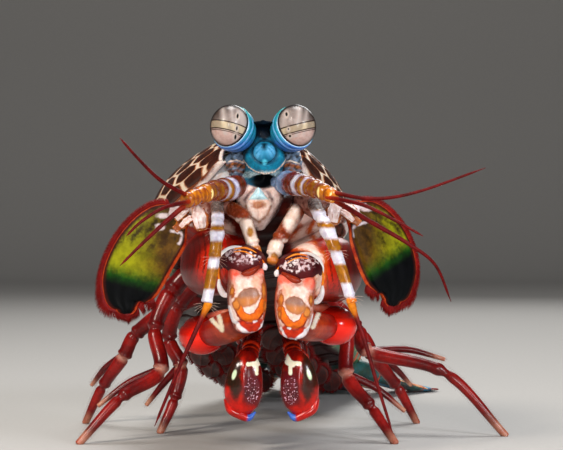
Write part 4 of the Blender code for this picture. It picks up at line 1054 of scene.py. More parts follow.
def make_tail(context):
    """Telson: a flat section with keels and edge teeth. Uropods: stem, spine and two flat blades each."""
    sizes = context.scene.shrimp_sizes
    # Tail-fan cuticle: thick calcified shield, blue-green with red keels, scuffed matt where it digs.
    finish = cuticle(
        "tail_fan_cuticle", ("#1E5A5C", "#27402E"),
        blotch=2.0, roughness=0.4, coat=0.1, pits=0.9, pit=0.45, shine=0.35,
        blue=("#1F7FA8", "#2C9AB8", 0.6, 0.3),
        patch=("#12292E", "#1C3A34", 0.6, 0.3),
        red=("#B8432A", "#8E2A1A", 0.3, 0.15),
        edge=("#D9C59A", "#B0854E", 0.15, 0.08),
        spine=("#E0B48A", "#C0502A", 0.5, 0.15),
    )
    fringe = bristle_finish()
    skin = tube(in_tail(TELSON_PLATE), 90, 160, power=2.4, nose=0.2)
    around = abs(skin.angle - np.pi / 2)
    share = skin.share
    relief = 0.25 * np.cos(around * 14) * ramp(share, 0.05, 0.3) * (around < 1.2)
    skin = raised(skin, relief + 0.18 * np.cos(skin.run * 3.2) * bump(around, 1.5, 0.12))
    fields = {
        "patch": oval(around, share, (0.42, 0.35), (0.2, 0.22)) * 8,
        "red": union(0.5 - abs(around - 0.9) * 12, (share - 0.93) * 12),
        "edge": 0.35 - abs(around - 1.52) * 7,
        "blue": (share - 0.55) * 5,
    }
    parts = [(skin, fields)]
    for rows in (TELSON_KEEL, mirrored(TELSON_RIDGE, RIGHT), mirrored(TELSON_RIDGE, LEFT)):
        keel = tube(in_tail(rows), 40, 28)
        parts.append((keel, {"red": 0.6, "spine": (keel.share - 0.9) * 6}))
    for side in (RIGHT, LEFT):
        for root, tip in TELSON_TEETH:
            middle = tuple((a + b) / 2 for a, b in zip(root, tip))
            rows = ((*root, 1.5, 1.1), (*middle, 1.0, 0.8), (*tip, 0.25, 0.25))
            tooth = tube(in_tail(mirrored(rows, side)), 26, 24)
            parts.append((tooth, {"edge": (tooth.share - 0.25) * 3, "spine": (tooth.share - 0.6) * 3}))
    put("telson", parts, finish, "tail_fan")
    hairs = []
    for side, word in SIDES:
        stem = tube(in_tail(mirrored(UROPOD_STEM, side)), 36, 40)
        outer = tube(in_tail(mirrored(UROPOD_OUTER, side)), 80, 56, power=2.3)
        ridge = 0.16 * bump(abs(np.cos(outer.angle)), 0, 0.12)
        outer = raised(outer, joints(outer.share, (0.62,), 0.4, 0.02) + ridge)
        inner = tube(in_tail(mirrored(UROPOD_INNER, side)), 50, 40, power=2.3)
        inner = raised(inner, 0.14 * bump(abs(np.cos(inner.angle)), 0, 0.12))
        spine = tube(in_tail(mirrored(UROPOD_SPINE, side)), 40, 24, power=2.3)
        fields = {
            "blue": (outer.share - 0.6) * 8,
            "red": 0.4 - abs(outer.share - 0.6) * 14,
            "patch": 0.3 - abs(outer.share - 0.3) * 5,
        }
        parts = [
            (stem, {"red": (stem.share - 0.82) * 8, "patch": 0.2 - abs(stem.share - 0.4) * 4}),
            (outer, fields),
            (inner, {"blue": 0.5, "red": (0.12 - inner.share) * 8}),
            (spine, {"spine": (spine.share - 0.1) * 3}),
        ]
        for share in np.linspace(0, 1, EDGE_SPINES):
            root = np.array([18.6 + 3.1 * share, 7.4 + 8.6 * share, 3.6 - 2.1 * share])
            bend = root + (1.7, 0.9, -0.1)
            tip = root + (2.8, 2.2, -0.6)
            rows = ((*root, 0.42, 0.4), (*bend, 0.32, 0.3), (*tip, 0.08, 0.08))
            claw = tube(in_tail(mirrored(rows, side)), 14, 12)
            parts.append((claw, {"spine": 0.6, "red": 0.2 - claw.share}))
        put("uropod_" + word, parts, finish, "tail_fan")
        for rows, start in ((UROPOD_OUTER, 0.64), (UROPOD_INNER, 0.2)):
            hairs.append(
                leaf_fringe(in_tail(mirrored(rows, side)), UP, sizes.tail_bristles, 1.7, 0.06, start)
            )
    bristles("uropod_bristles", hairs, fringe, "tail_fan")


# Feelers

ANTENNULES = {
    "right": {
        "stem": (
            (-3.6, 4.4, 46.4, 1.7, 1.7), (-5.8, 0.0, 45.4, 1.9, 1.9), (-7.6, -5.0, 45.1, 1.7, 1.7),
            (-9.8, -10.0, 44.3, 1.4, 1.4), (-11.9, -13.5, 43.4, 1.1, 1.2),
        ),
        "lashes": {
            "upper": (
                (-11.7, -13.2, 44.1), (-15.5, -19.0, 46.3), (-18.6, -23.0, 49.4), (-21.3, -26.0, 52.6)
            ),
            "lower": (
                (-12.2, -13.2, 42.6), (-15.5, -15.6, 39.6), (-18.6, -17.2, 36.6), (-22.0, -18.0, 33.2)
            ),
            "middle": (
                (-11.4, -13.8, 43.2), (-15.0, -19.6, 42.2), (-18.4, -22.0, 40.0), (-20.6, -23.2, 37.8)
            ),
        },
        "rings": (241.0, 228.0, 221.0, 202.5),
        "crescents": (212.0,),
    },
    "left": {
        "stem": (
            (2.6, 4.4, 46.6, 1.7, 1.7), (5.0, -1.0, 46.3, 1.9, 1.9), (7.6, -6.5, 45.6, 1.6, 1.6),
            (9.6, -10.5, 44.8, 1.3, 1.3), (11.2, -13.5, 44.0, 1.1, 1.2),
        ),
        "lashes": {
            "upper": ((11.0, -13.2, 44.7), (17.0, -17.0, 43.6), (24.0, -18.5, 44.6), (34.5, -19.5, 48.3)),
            "lower": (
                (11.6, -13.2, 43.3), (17.0, -15.4, 40.0), (22.8, -16.0, 36.6), (27.2, -14.4, 33.2),
                (29.9, -12.0, 27.4),
            ),
            "middle": ((10.6, -13.8, 43.8), (15.6, -19.6, 42.6), (20.4, -22.0, 40.2), (24.6, -23.2, 37.8)),
        },
        "rings": (290.0, 301.5, 309.0, 328.0),
        "crescents": (318.5, 331.0),
    },
}

ANTENNAE = {
    "right": {
        "base": (
            (-6.4, 6.5, 44.6, 2.4, 2.2, 2.4), (-9.6, 3.6, 42.4, 2.8, 2.2, 2.8),
            (-12.6, 2.4, 41.2, 1.8, 1.8, 2.0),
        ),
        "scale": (
            (-13.8, 2.6, 41.4, 2.2), (-16.2, 2.6, 39.2, 4.6), (-19.5, 2.4, 35.1, 5.4),
            (-22.0, 2.8, 30.3, 5.2), (-23.0, 3.2, 27.4, 3.9), (-22.8, 3.4, 25.6, 1.9),
        ),
        "scale_faces": (-0.10, -1.0, 0.12),
        "stem": (
            (-7.7, 3.4, 43.0, 1.2), (-7.4, -2.0, 41.0, 1.0), (-7.4, -6.0, 37.6, 1.0),
            (-7.9, -8.0, 33.0, 0.85), (-8.9, -9.0, 27.2, 0.8),
        ),
        "lash": ((-8.9, -9.0, 26.4), (-11.0, -9.8, 21.8), (-13.6, -10.0, 16.0), (-17.2, -10.0, 7.4)),
        "white": ((213, 225), (231, 241), (258, 268), (289.5, 304.5)),
        "knees": (229.0, 304.0),
        "night": 283.5,
        "slope": -0.27,
        "chalk": ((163, 216, 6, 2.6), (160, 227, 5, 3.4)),
        "welt": ((171, 231), (180, 232.5), (183, 236), (179, 244)),
        "fan": (197.0, 220.0),
    },
    "left": {
        "base": (
            (6.6, 6.5, 44.8, 2.4, 2.2, 2.4), (10.0, 3.6, 42.8, 2.8, 2.2, 2.8),
            (13.4, 2.4, 41.6, 1.8, 1.8, 2.0),
        ),
        "scale": (
            (15.0, 2.6, 42.0, 2.2), (17.2, 3.2, 39.8, 4.9), (19.8, 4.4, 35.6, 6.3), (21.5, 5.2, 31.4, 6.0),
            (21.9, 5.6, 28.6, 4.3), (21.6, 5.6, 26.8, 2.0),
        ),
        "scale_faces": (0.60, -0.79, 0.12),
        "stem": (
            (8.4, 3.4, 43.4, 1.2), (9.2, -2.0, 41.3, 1.0), (10.9, -6.0, 37.7, 1.0),
            (12.5, -8.0, 33.0, 0.85), (14.3, -9.0, 27.2, 0.8),
        ),
        "lash": ((14.4, -9.0, 26.4), (16.2, -9.6, 21.4), (18.2, -10.0, 14.5), (20.7, -10.0, 6.5)),
        "white": ((210.5, 222), (228, 239), (251.5, 264), (283.5, 297.5)),
        "knees": (226.0, 297.5),
        "night": 266.0,
        "slope": 0.68,
        "chalk": ((366, 209, 6, 2.4),),
        "welt": ((367, 222), (356, 225), (351, 229), (353, 236)),
        "fan": (337.0, 214.0),
    },
}
# Lobes over the foot of each antenna: root and tip from its middle in pixels, then half width and depth in
# millimetres, and whether the lobe is an amber one that shows only as a border of those over it.
BASE_PLATES = (
    (-1, -12, -5, 10.5, 1.5, 1.1, True),
    (4, -4, 22, 9.5, 1.0, 1.0, True),
    (-0.5, -13, -4, 9, 1.3, 0.7, False),
    (9, -9, 20.5, 0.5, 0.6, 0.5, False),
    (2, -4, 17, 7.5, 0.65, 0.1, False),
)
# Spacing of the rings along a lash, in millimetres: about twice the real one, so that they show.
RING_SPACING = 0.55


def lash(points, thick, thin, flare=0.0, rings=330, sides=12):
    """A long feeler: a round section that thins evenly to a point, waved by its rings.

    It starts a little inside the joint that carries it, wider there by the flare.
    """
    points = np.array(points, float)
    points[0] -= unit(points[1] - points[0]) * 0.6
    rows = smooth_rows(points, rings)
    place_at = np.linspace(0, 1, rings)[:, None]
    radius = (thick + (thin - thick) * place_at) * (1 - 0.7 * ramp(place_at, 0.92, 1.0))
    radius = radius + flare * (1 - ramp(place_at, 0.0, 0.14))
    skin = tube(np.hstack([rows, radius]), rings, sides, up=(0.3, 0.2, 1.0))
    return raised(skin, 0.008 * np.cos(skin.run * 2 * np.pi / RING_SPACING))


def scale_parts(word, size):
    """Antennal scale: a lens section down the leaf with a raised outer rib, marked by place in the frame."""
    scale = np.array(size["scale"], float)
    thick = 0.5 * np.ones((len(scale), 1))
    skin = tube(np.hstack([scale, thick]), 130, 110, size["scale_faces"], 1.9, nose=2.0)
    across = np.cos(skin.angle)
    inner_edge = -1 if word == "right" else 1
    sign = 1 if seen(skin.points)[0][60, 0] > seen(skin.points)[0][60, 55] else -1
    out = across * sign * inner_edge
    veins = np.cos(13 * across) * bump(across, 0, 0.8)
    skin = raised(skin, 0.06 * veins + 0.22 * bump(out, -0.86, 0.07) - 0.12 * bump(out, -0.72, 0.07))
    px, py = seen(skin.points)
    wide = np.interp(np.linspace(0, 1, 130), np.linspace(0, 1, len(scale)), scale[:, 3])
    wide = np.concatenate([np.full(6, wide[0]), wide, np.full(6, wide[-1])])[:, None]
    middle = seen(skin.centre[:, None])[0]
    level = py - size["night"] + size["slope"] * (px - middle[70])
    streak = np.sin(14 * across + 3 * np.sin(skin.share * 5)) * np.sin(skin.share * 23 + 5 * across)
    rim = (1 - abs(across)) * wide
    spots = (oval(px, py, (a, b), (c, d)) for a, b, c, d in size["chalk"])
    chalk = union(stroke(px, py, size["welt"], 1.3), *spots) * PIXEL
    foot = (0.07 - skin.share) * 30 + 0.7 * np.sin(7 * across) + 0.4 * np.sin(3 * across + 1)
    fields = {
        "gold": (0.40 - skin.share) * 15 + 4.0 * np.clip(-out, -0.6, 1),
        "green": level * PIXEL + 1.7,
        "black": level * PIXEL,
        "streak": 0.45 * streak - 0.2 - 0.7 * ramp(skin.share, 0.3, 0.55) + 0.2 * out,
        "root": union(foot, chalk),
        "border": 0.75 - rim,
        "rim": union(0.28 - rim, only(out < 0, 0.42 - rim)),
    }
    return skin, fields


def make_feelers(context):
    """Antennules, antennae and their leaf scales, each a section carried along its own path."""
    sizes = context.scene.shrimp_sizes
    colours = context.scene.shrimp_colours
    # Feeler-stem cuticle: thin amber shell that lets light through, ringed with chalk white.
    # Its darker red where the stem turns away from the front is painted shade.
    stem = cuticle(
        "antennule_cuticle", ("#96600C", "#6A4006"),
        blotch=1.1, roughness=0.24, flesh=0.14, pit=0.35,
        dark=("#3E1408", "#5A280C", 0.6, 0.2),
        orange=("#D07C12", "#AC5C0C", 0.6, 0.1),
        flush=("#962408", "#661606", 0.3, 0.12),
        groove=("#5C1C06", "#702608", 0.14, 0.04),
        ghost=("#8296B8", "#3E5674", 0.3, 0.25),
        cream=("#EDD48A", 0.12, 0.03),
        white=("#DFDCE8", "#A4A0BA", 0.14, 0.08),
    )
    # Antenna cuticle: jointed, banded in chalk white and amber, edges softened by pigment under the shell.
    banded = cuticle(
        "antenna_cuticle", ("#A4680F", "#7E480E"),
        blotch=0.8, roughness=0.26, coat=0.15, flesh=0.08, pit=0.35,
        dusk=("#4E403C", "#7A6860", 0.6, 0.3),
        orange=("#E0821A", "#C8601A", 0.3, 0.05),
        white=("#DAD7DE", "#B9B3C4", 0.34, 0.12),
    )
    # Base-plate cuticle: thin white plates with pink pigment and orange ridges, folded like a fan.
    # Its dark mark is painted shade: at the root of the foot and of each lobe, and in the gap between lobes.
    plates = cuticle(
        "antenna_base_cuticle", ("#A8786A", "#6A2E20"),
        blotch=0.7, coat=0.12, flesh=0.08, pit=0.35,
        white=("#E2D2CE", "#C4A096", 0.4, 0.2),
        orange=("#A85A10", "#7E3408", 0.1, 0.07),
        dark=("#2E100C", "#4E1A10", 0.3, 0.2),
    )
    # Lash cuticle: dark red chitin in hundreds of short rings.
    thread = cuticle(
        "lash_cuticle", ("#640809", "#440506"),
        blotch=1.5, roughness=0.42, coat=0.0, flesh=0.05, pit=0.3, shine=0.1,
        root=("#98280A", "#6A1406", 1.5, 0.0),
        amber=("#D07C12", "#A8540C", 0.8, 0.0),
    )
    # Scale cuticle: thin leaf with metallic-looking pigment, yellow-green that ends in velvet black.
    leaf = cuticle(
        "antennal_scale_cuticle", (tuple(colours.scale_green), "#747408"),
        blotch=1.6, roughness=0.5, coat=0.0, flesh=0.0, pit=0.25, shine=0.08,
        gold=("#5C3E0A", "#3A2408", 3.2, 0.5),
        streak=("#1E1606", "#2E1C08", 0.5, 0.3),
        green=("#164A0A", "#0E3006", 1.6, 0.3),
        black=("#010203", "#020305", 1.3, 0.2),
        root=("#D8CCD0", "#B8A0A0", 0.2, 0.12),
        border=("#3A0C06", "#2A0805", 0.3, 0.05),
        rim=("#B8481A", "#8E200E", 0.12, 0.04),
    )
    fringe = bristle_finish()
    leaf_hairs, joint_hairs = [], []
    for word, size in ANTENNAE.items():
        side = RIGHT if word == "right" else LEFT
        base = tube(size["base"], 70, 80)
        px, py = seen(base.points)
        a, b = size["fan"]
        turn = np.arctan2(py - b - 8, px - a)
        base = raised(base, 0.3 * np.cos(turn * 7) * bump(np.hypot(px - a, py - b), 6, 7))
        white = union(oval(px, py, (a, b - 2), (11, 9)), oval(px, py, (a + side * 22, b + 4), (10, 7)))
        gap = stroke(px, py, ((a + side * 11, b - 8), (a + side * 12, b + 8)), 1.6)
        fields = {
            "white": white * PIXEL,
            "orange": only(np.hypot(px - a, py - b) < 13, 0.3 * np.cos(turn * 14) - 0.2),
            # Painted shade at the root of the foot and in the gap between its lobes.
            "dark": union(1.3 - base.run * 0.8, gap * PIXEL),
        }
        parts = [(base, fields)]
        for k, (p, q, r, s, wide, back, amber) in enumerate(BASE_PLATES):
            root = np.array(at(a + side * p, b + q, back))
            tip = np.array(at(a + side * r, b + s, back - 1.2))
            middle = (root + tip) / 2 + (0, -0.5, 0.2)
            rows = ((*root, wide * 0.5, 0.3), (*middle, wide, 0.26), (*tip, wide * 0.6, 0.14))
            plate = tube(rows, 50, 50, (0.2 * (k % 3 - 1), -1.0, 0.4), power=2.6)
            across = np.cos(plate.angle)
            jags = 0.09 * abs(across) ** 5 * np.sin(plate.share * (17 + k) + 2 * k)
            creases = 0.05 * np.sin(across * 9 + 3 * plate.share + k) * bump(across, 0, 0.9)
            plate = raised(plate, jags + creases)
            border = union(0.14 - wide * (1 - abs(across)), (plate.share - 0.97) * 6)
            streaks = 0.05 - abs(np.sin(across * 6 + k)) * 0.3 - 0.3 * abs(plate.share - 0.7)
            fields = {
                "white": 0.5 - 0.5 * bump(plate.share, 0.1, 0.2) + 0.2 * np.sin(across * 5 + k),
                "orange": 1.0 if amber else union(border, streaks),
                # Painted shade at the root of the lobe.
                "dark": (0.03 - plate.share) * 2 + 0.1 * np.sin(across * 9) - 0.1,
            }
            parts.append((plate, fields))
        put("antenna_base_" + word, parts, plates, "banded_limb")

        put("antennal_scale_" + word, [scale_parts(word, size)], leaf, "antennal_scale")
        face = size["scale_faces"]
        length = sizes.fringe_length / MM
        for lift, part in ((0.0, 1.0), (0.14, 0.9), (-0.14, 0.95)):
            group = leaf_fringe(
                size["scale"], face, sizes.scale_bristles, length * part, 0.052, 0.02, droop=0.35
            )
            leaf_hairs.append(outer_fringe(group, side, unit(face) * lift))

        stalk = tube(size["stem"], 120, 56, power=2.7)
        down = seen(stalk.centre[:, None])[1]
        knees = (size["knees"][0] - 8, *size["knees"], size["white"][2][0])
        stalk = raised(stalk, joints(down, knees, 0.14, 1.6) + 0.22 * bump(down, size["knees"][0] + 4, 4.5))
        py = seen(stalk.points)[1]
        fields = {
            "white": union(*(np.minimum(py - top, bottom - py) for top, bottom in size["white"])) * PIXEL,
            "orange": (py - size["white"][-1][1]) * PIXEL,
            "dusk": (size["white"][0][0] - py) * PIXEL,
        }
        put("antenna_" + word, [(stalk, fields)], banded, "banded_limb")
        for stop in (*size["knees"], size["white"][2][0]):
            index = int(np.argmin(abs(down[:, 0] - stop)))
            joint_hairs.append(joint_tuft(stalk.centre[index], 4))
        skin = lash(size["lash"], 0.44, 0.22, flare=0.26)
        fields = {"root": 2.4 - skin.run, "amber": 2.2 - skin.run}
        put("antenna_lash_" + word, [(skin, fields)], thread, "feeler_red")

        parts = ANTENNULES[word]
        peduncle = tube(parts["stem"], 150, 72)
        along, down = seen(peduncle.centre[:, None])
        place_at = along * side
        stops = [ring * side for ring in parts["rings"]]
        peduncle = raised(peduncle, joints(place_at, stops, 0.26, 1.3) + 0.1 * np.sin(place_at * 0.9))
        px, py = seen(peduncle.points)
        cream = []
        for ring in parts["crescents"]:
            arc = np.hypot(px - ring + side * -4.5, (py - down) * 0.9)
            cream.append(only((px - ring) * side < 1.0, 1.1 - abs(arc - 5.0)))
        bands = ((parts["rings"][1], 1.7), (parts["rings"][2], 0.9))
        fields = {
            "dark": (stops[1] + 1 - place_at) * 0.2 + 0.1 * np.cos(place_at * 0.8),
            "orange": (place_at - stops[3]) * PIXEL + 0.3,
            # Painted shade: darker red where the stem turns away from the front.
            "flush": 0.34 - facing(peduncle),
            "groove": 0.14 * np.cos(place_at * 0.95 + 2 * abs((py - down) * 0.12) ** 2) - 0.1,
            "ghost": (stops[0] - place_at) * PIXEL,
            "cream": union(*cream) * PIXEL,
            "white": union(*(half - abs(along - ring - side * 0.6) for ring, half in bands)) * PIXEL,
        }
        put("antennule_" + word, [(peduncle, fields)], stem, "banded_limb")
        for part, points in parts["lashes"].items():
            skin = lash(points, 0.45 if part == "lower" else 0.38, 0.18)
            put(f"antennule_lash_{part}_{word}", [(skin, {"root": 2.4 - skin.run})], thread, "feeler_red")
    bristles("scale_bristles", leaf_hairs, fringe, "antennal_scale")
    # Joint bristles: stiff pale chitin hairs at the antenna's knees.
    pale = cuticle(
        "pale_bristle_chitin", ("#E2B8A0", "#C88A70"),
        roughness=0.4, coat=0.0, flesh=0.0, pits=0.1,
        tip=("#F0D8C8", 0.4, 0.0),
    )
    bristles("antenna_bristles", joint_hairs, pale, "banded_limb")


def outer_fringe(group, side, lift):
    """A scale's bristles, lifted off its face, less those on its bare inner edge, longer towards its tip."""
    kept = []
    for root, way, lead, length, thick in group:
        root = root - 0.15 * way + lift
        outside = (way[:, 0] * side > -0.35) | (root[:, 2] < 27.0)
        root, way, lead = root[outside], way[outside], lead[outside]
        kept.append((root, way, lead, length * (0.6 + 0.5 * ramp(root[:, 2:], 33.0, 26.0)), thick))
    return kept


def joint_tuft(centre, count):
    """A sparse brush at a joint: directions fanned out to the limb's inner and outer side."""
    angle = np.linspace(-0.5, 0.5, count)
    found = []
    for sign in (RIGHT, LEFT):
        way = unit(np.stack([sign * np.cos(angle), -0.25 + 0 * angle, np.sin(angle) - 0.35], 1))
        root = centre + way * 0.75
        found.append((root, way, np.repeat([[0.0, -0.2, -1.0]], count, 0), 1.7, 0.028))
    return found


# Limbs

RAPTOR_MIDDLE = 1.3
HANDS_MIDDLE = 1.4
MERUS = (
    (10.4, 27.5, 32.4, 2.4, 3.0, 3.0),
    (11.4, 22.0, 31.8, 3.8, 5.0, 4.6),
    (11.2, 14.0, 31.6, 4.5, 6.2, 4.9),
    (8.8, 7.0, 31.8, 4.5, 6.0, 4.8),
    (5.8, 1.2, 32.0, 4.2, 4.8, 4.4),
    (4.6, -2.6, 31.8, 3.5, 3.4, 3.4),
)
CARPUS = (
    (4.1, -1.8, 30.6, 2.8, 2.4),
    (3.9, -4.2, 28.6, 3.2, 2.7),
    (3.8, -5.0, 25.4, 3.1, 2.7),
    (3.7, -4.4, 22.6, 2.4, 2.3),
)
PROPODUS = (
    (3.8, -4.0, 23.0, 1.9, 1.6, 1.6),
    (4.6, -1.6, 23.0, 2.6, 2.2, 2.2),
    (6.4, 2.4, 22.4, 2.8, 2.3, 2.6),
    (8.4, 6.4, 21.6, 2.7, 2.2, 2.6),
    (10.2, 10.0, 21.0, 2.3, 1.8, 2.2),
)
DACTYL_BLADE = (
    (9.8, 12.4, 23.6, 1.4, 1.0, 1.2),
    (7.0, 8.6, 24.4, 1.1, 0.8, 0.8),
    (4.6, 4.4, 24.8, 0.8, 0.6, 0.6),
    (3.4, 1.4, 25.2, 0.4, 0.3, 0.3),
)
HEEL = ((11.6, 12.6, 20.6),)
HEEL_SEMI = (4.0, 4.4, 3.4)
# Each raptorial limb's own lift and spread, and the boxes of the frame that its carpus and saddle fill.
RAPTORS = {
    "right": {
        "side": RIGHT,
        "lift": 0.6,
        "splay": 0.3,
        "heel_lift": 0.0,
        "carpus": (248.5, 19.5, 268.0, 67.0),
        "saddle": (242.5, 267.5),
        "mark": (((207, 312), (213, 321), (222, 330)), ((219, 315), (222, 330))),
        "marbling": ((-22, -12), (-27, -6)),
    },
    "left": {
        "side": LEFT,
        "lift": -0.4,
        "splay": -0.9,
        "heel_lift": 1.6,
        "carpus": (295.5, 18.5, 278.0, 63.0),
        "saddle": (299.0, 274.0),
        "mark": (((325, 300), (322, 308)), ((318, 315), (313, 327))),
        "marbling": ((4, -30), (-12, -27), (-21, -16), (-20, 0), (-20, 18)),
    },
}
# Half width of the carpus in millimetres, which the marks in its box are drawn to.
CARPUS_HALF = 3.2
# The orange crescent under its middle spot and the crease below that, as paths in its box.
CARPUS_CRESCENT = (
    (-0.5, 2.02), (-0.4, 2.3), (-0.16, 2.52), (0.14, 2.56), (0.42, 2.42), (0.64, 2.1), (0.78, 1.7)
)
CARPUS_CREASE = ((-0.64, 2.2), (-0.44, 2.58), (-0.14, 2.8), (0.18, 2.83), (0.48, 2.66), (0.76, 2.28))
# Its swellings: height in millimetres, then middle and width across and down its box. One is a dent.
CARPUS_SWELLS = (
    (1.0, -0.74, 0.26, 0.09, 0.11),
    (0.8, 0.66, 0.3, 0.03, 0.10),
    (-0.5, 0.0, 0.5, 0.04, 0.09),
    (0.05, 0.0, 0.45, 0.42, 0.13),
)
# Its white rim: the path of each line and its half width, in its box.
CARPUS_RIM = (
    (((-1.0, 2.0), (-0.82, 2.6), (-0.48, 3.0), (0.0, 3.32), (0.3, 3.3)), 0.1),
    (((0.5, 3.2), (0.72, 2.95), (0.8, 2.7)), 0.06),
    (((0.3, 2.75), (0.42, 2.72)), 0.06),
)
# Brown spots round the carpus's middle one: each one's middle and half widths, in its box.
CARPUS_CELLS = (
    ((-0.62, 1.85), (0.2, 0.3)),
    ((0.78, 1.15), (0.13, 0.4)),
    ((-0.84, 1.2), (0.12, 0.28)),
    ((0.86, 1.95), (0.1, 0.26)),
)


def in_box(px, py, box, side):
    """Place in a limb's own box: -1 outer edge to 1 inner edge, and 0 top to 1 bottom."""
    middle, half, top, tall = box
    return -side * (px - middle) / half, (py - top) / tall


def folded(rows, size):
    """Rows on a raptorial limb's side, those further back spread and lifted by that limb's own amounts."""
    rows = np.array(rows, float)
    far = np.clip((rows[:, 1] + 4.0) / 16.0, 0.0, 1.0)
    rows[:, 0] += size["splay"] * far
    rows[:, 2] += size["lift"] + (size["heel_lift"] - size["lift"]) * far
    return mirrored(rows, size["side"], RAPTOR_MIDDLE)


def make_raptors(context):
    """Striking limbs: merus with its saddle, carpus, propodus and the dactyl with its club."""
    colours = context.scene.shrimp_colours
    # Merus cuticle: thick red shell, glossy, lit from within where it is thin.
    # Painted light on it: the glow is a brighter orange-red painted on the merus, and the pale flecks on the
    # saddle's dome are painted glints.
    red = cuticle(
        "merus_cuticle", (tuple(colours.limb_red), "#7A0A03"),
        blotch=2.6, roughness=0.3, coat=0.04, flesh=0.14, pits=0.3, shine=0.14,
        glow=("#E83410", "#D8240A", 1.6, 0.4),
        shade=("#6E0C04", "#4A0803", 0.9, 0.3),
        grain=("#6E1406", "#801E08", 0.12, 0.2),
        orange=("#E0701E", "#C84A16", 0.5, 0.3),
        pale=("#F6DED2", "#EBB8A0", 0.35, 0.25),
        saddle=("#3A0C10", "#561618", 0.14, 0.0),
        fleck=("#E2D0D0", "#A88488", 0.16, 0.45),
        tongue=("#8A2A10", "#5E180C", 0.2, 0.0),
        arch=("#E0821A", "#D2600E", 0.10, 0.0),
        arch_white=("#E8E0DC", "#CDBFC0", 0.12, 0.1),
        ember=("#C04414", "#8A240A", 0.8, 0.3),
        mark=("#F8EEDC", "#EEDCB8", 0.2, 0.1),
    )
    # Carpus cuticle: smooth porcelain-like shell with soft-edged spots.
    # Its side mark is painted shade, darker red-orange where the carpus turns from the front, with one
    # brown-orange patch of its own on the inner edge.
    spotted = cuticle(
        "carpus_cuticle", ("#E6D0C6", "#D2AA9A"),
        blotch=1.2, roughness=0.34, coat=0.03, pit=0.35, shine=0.2,
        blush=("#D89078", "#DCA890", 0.5, 0.3),
        side=("#B84818", "#7A2008", 0.9, 0.4),
        low=("#C4300C", "#981C06", 0.2, 0.12),
        orange_edge=("#8E3208", "#A84A10", 0.1, 0.12),
        orange=("#E07414", "#C8500E", 0.14, 0.12),
        crease=("#7A1E08", 0.1, 0.08),
        brown_edge=("#8A3E14", "#9C5220", 0.14, 0.12),
        brown=("#C0702C", "#CC8038", 0.12, 0.12),
        spot_edge=("#8C4E2A", "#6E3A20", 0.16, 0.12),
        spot=("#96705E", "#80584A", 0.25, 0.12),
        spot_low=("#B0662C", "#B87238", 0.5, 0.12),
        knob=("#E04A34", "#E07862", 0.35, 0.15),
        red=("#7E1A06", "#A83008", 0.8, 0.3),
        rim=("#EEE6E4", "#D4C6CC", 0.12, 0.05),
    )
    # Club: mineral-hard polished heel, deep red and darker where it meets the blade.
    # Its bright band round the heel's middle is painted glow.
    club = cuticle(
        "club_enamel", (tuple(colours.club_red), "#C81004"),
        blotch=2.2, roughness=0.2, coat=0.12, flesh=0.14, pits=0.15,
        shade=("#780A04", "#9A1006", 1.2, 0.2),
        hot=("#FA2A0E", "#EE1606", 1.0, 0.2),
        blade=("#E8A08A", "#D2603E", 0.8, 0.2),
    )
    for word, size in RAPTORS.items():
        side, lift = size["side"], size["lift"]
        merus = tube(mirrored(MERUS, side, RAPTOR_MIDDLE, 0.0, lift), 110, 120, nose=0.5)
        top = np.sin(merus.angle)
        ridge = 0.35 * bump(top, 0.1, 0.25) * ramp(merus.share, 0.2, 0.5) * (np.cos(merus.angle) * side > 0)
        merus = raised(merus, ridge - 0.25 * bump(merus.share, 0.9, 0.03))
        px, py = seen(merus.points)
        a, b = size["saddle"]
        p, q = (px - a) * -side, py - b
        front = only(merus.points[..., 1] < 12, 0.0)
        fields = {
            # Painted glow: brighter orange-red over part of the merus.
            "glow": 2.2 * bump(p, -32, 14) + 1.0 * bump(q, 12, 18) - 2.0,
            "shade": union((0.10 - merus.share) * 8, -top * 1.4 - 0.7),
            "grain": 0.22 * np.sin(p * 1.1 + 2 * np.sin(q * 0.11)) - 0.14 + front,
            "orange": stroke(p, q, size["marbling"], 6.5) * PIXEL + front,
            "pale": stroke(p, q, size["marbling"], 3.6) * PIXEL + front,
        }
        put("raptor_merus_" + word, [(merus, fields), *saddle_parts(size, side)], red, "limb_red")

        carpus = tube(mirrored(CARPUS, side, RAPTOR_MIDDLE, 0.0, lift), 130, 130, TOWARDS_FACE, nose=0.4)
        px, py = seen(carpus.points)
        a, b = in_box(px, py, size["carpus"], side)
        front = ramp(facing(carpus), -0.05, 0.3)
        swell = sum(
            tall * bump(np.hypot((a - middle) / wide, (b - down) / long), 0, 1)
            for tall, middle, wide, down, long in CARPUS_SWELLS
        )
        groove = 0.2 * bump(b, 0.80 + 0.1 * a * a, 0.03)
        carpus = raised(carpus, (swell - groove) * front + 0.2 * bump(b, 0.955, 0.03))
        long = b * 3.4
        spot = oval(a, long, (0.0, 1.48), (0.56, 0.44), -0.5) * CARPUS_HALF
        cells = union(*(oval(a, long, *cell) for cell in CARPUS_CELLS)) * CARPUS_HALF
        crescent = stroke(a, long, CARPUS_CRESCENT, 0.17)
        blush = union(oval(a, long, (0.45, 0.75), (0.3, 0.4)), oval(a, long, (-0.8, 1.05), (0.2, 0.25)))
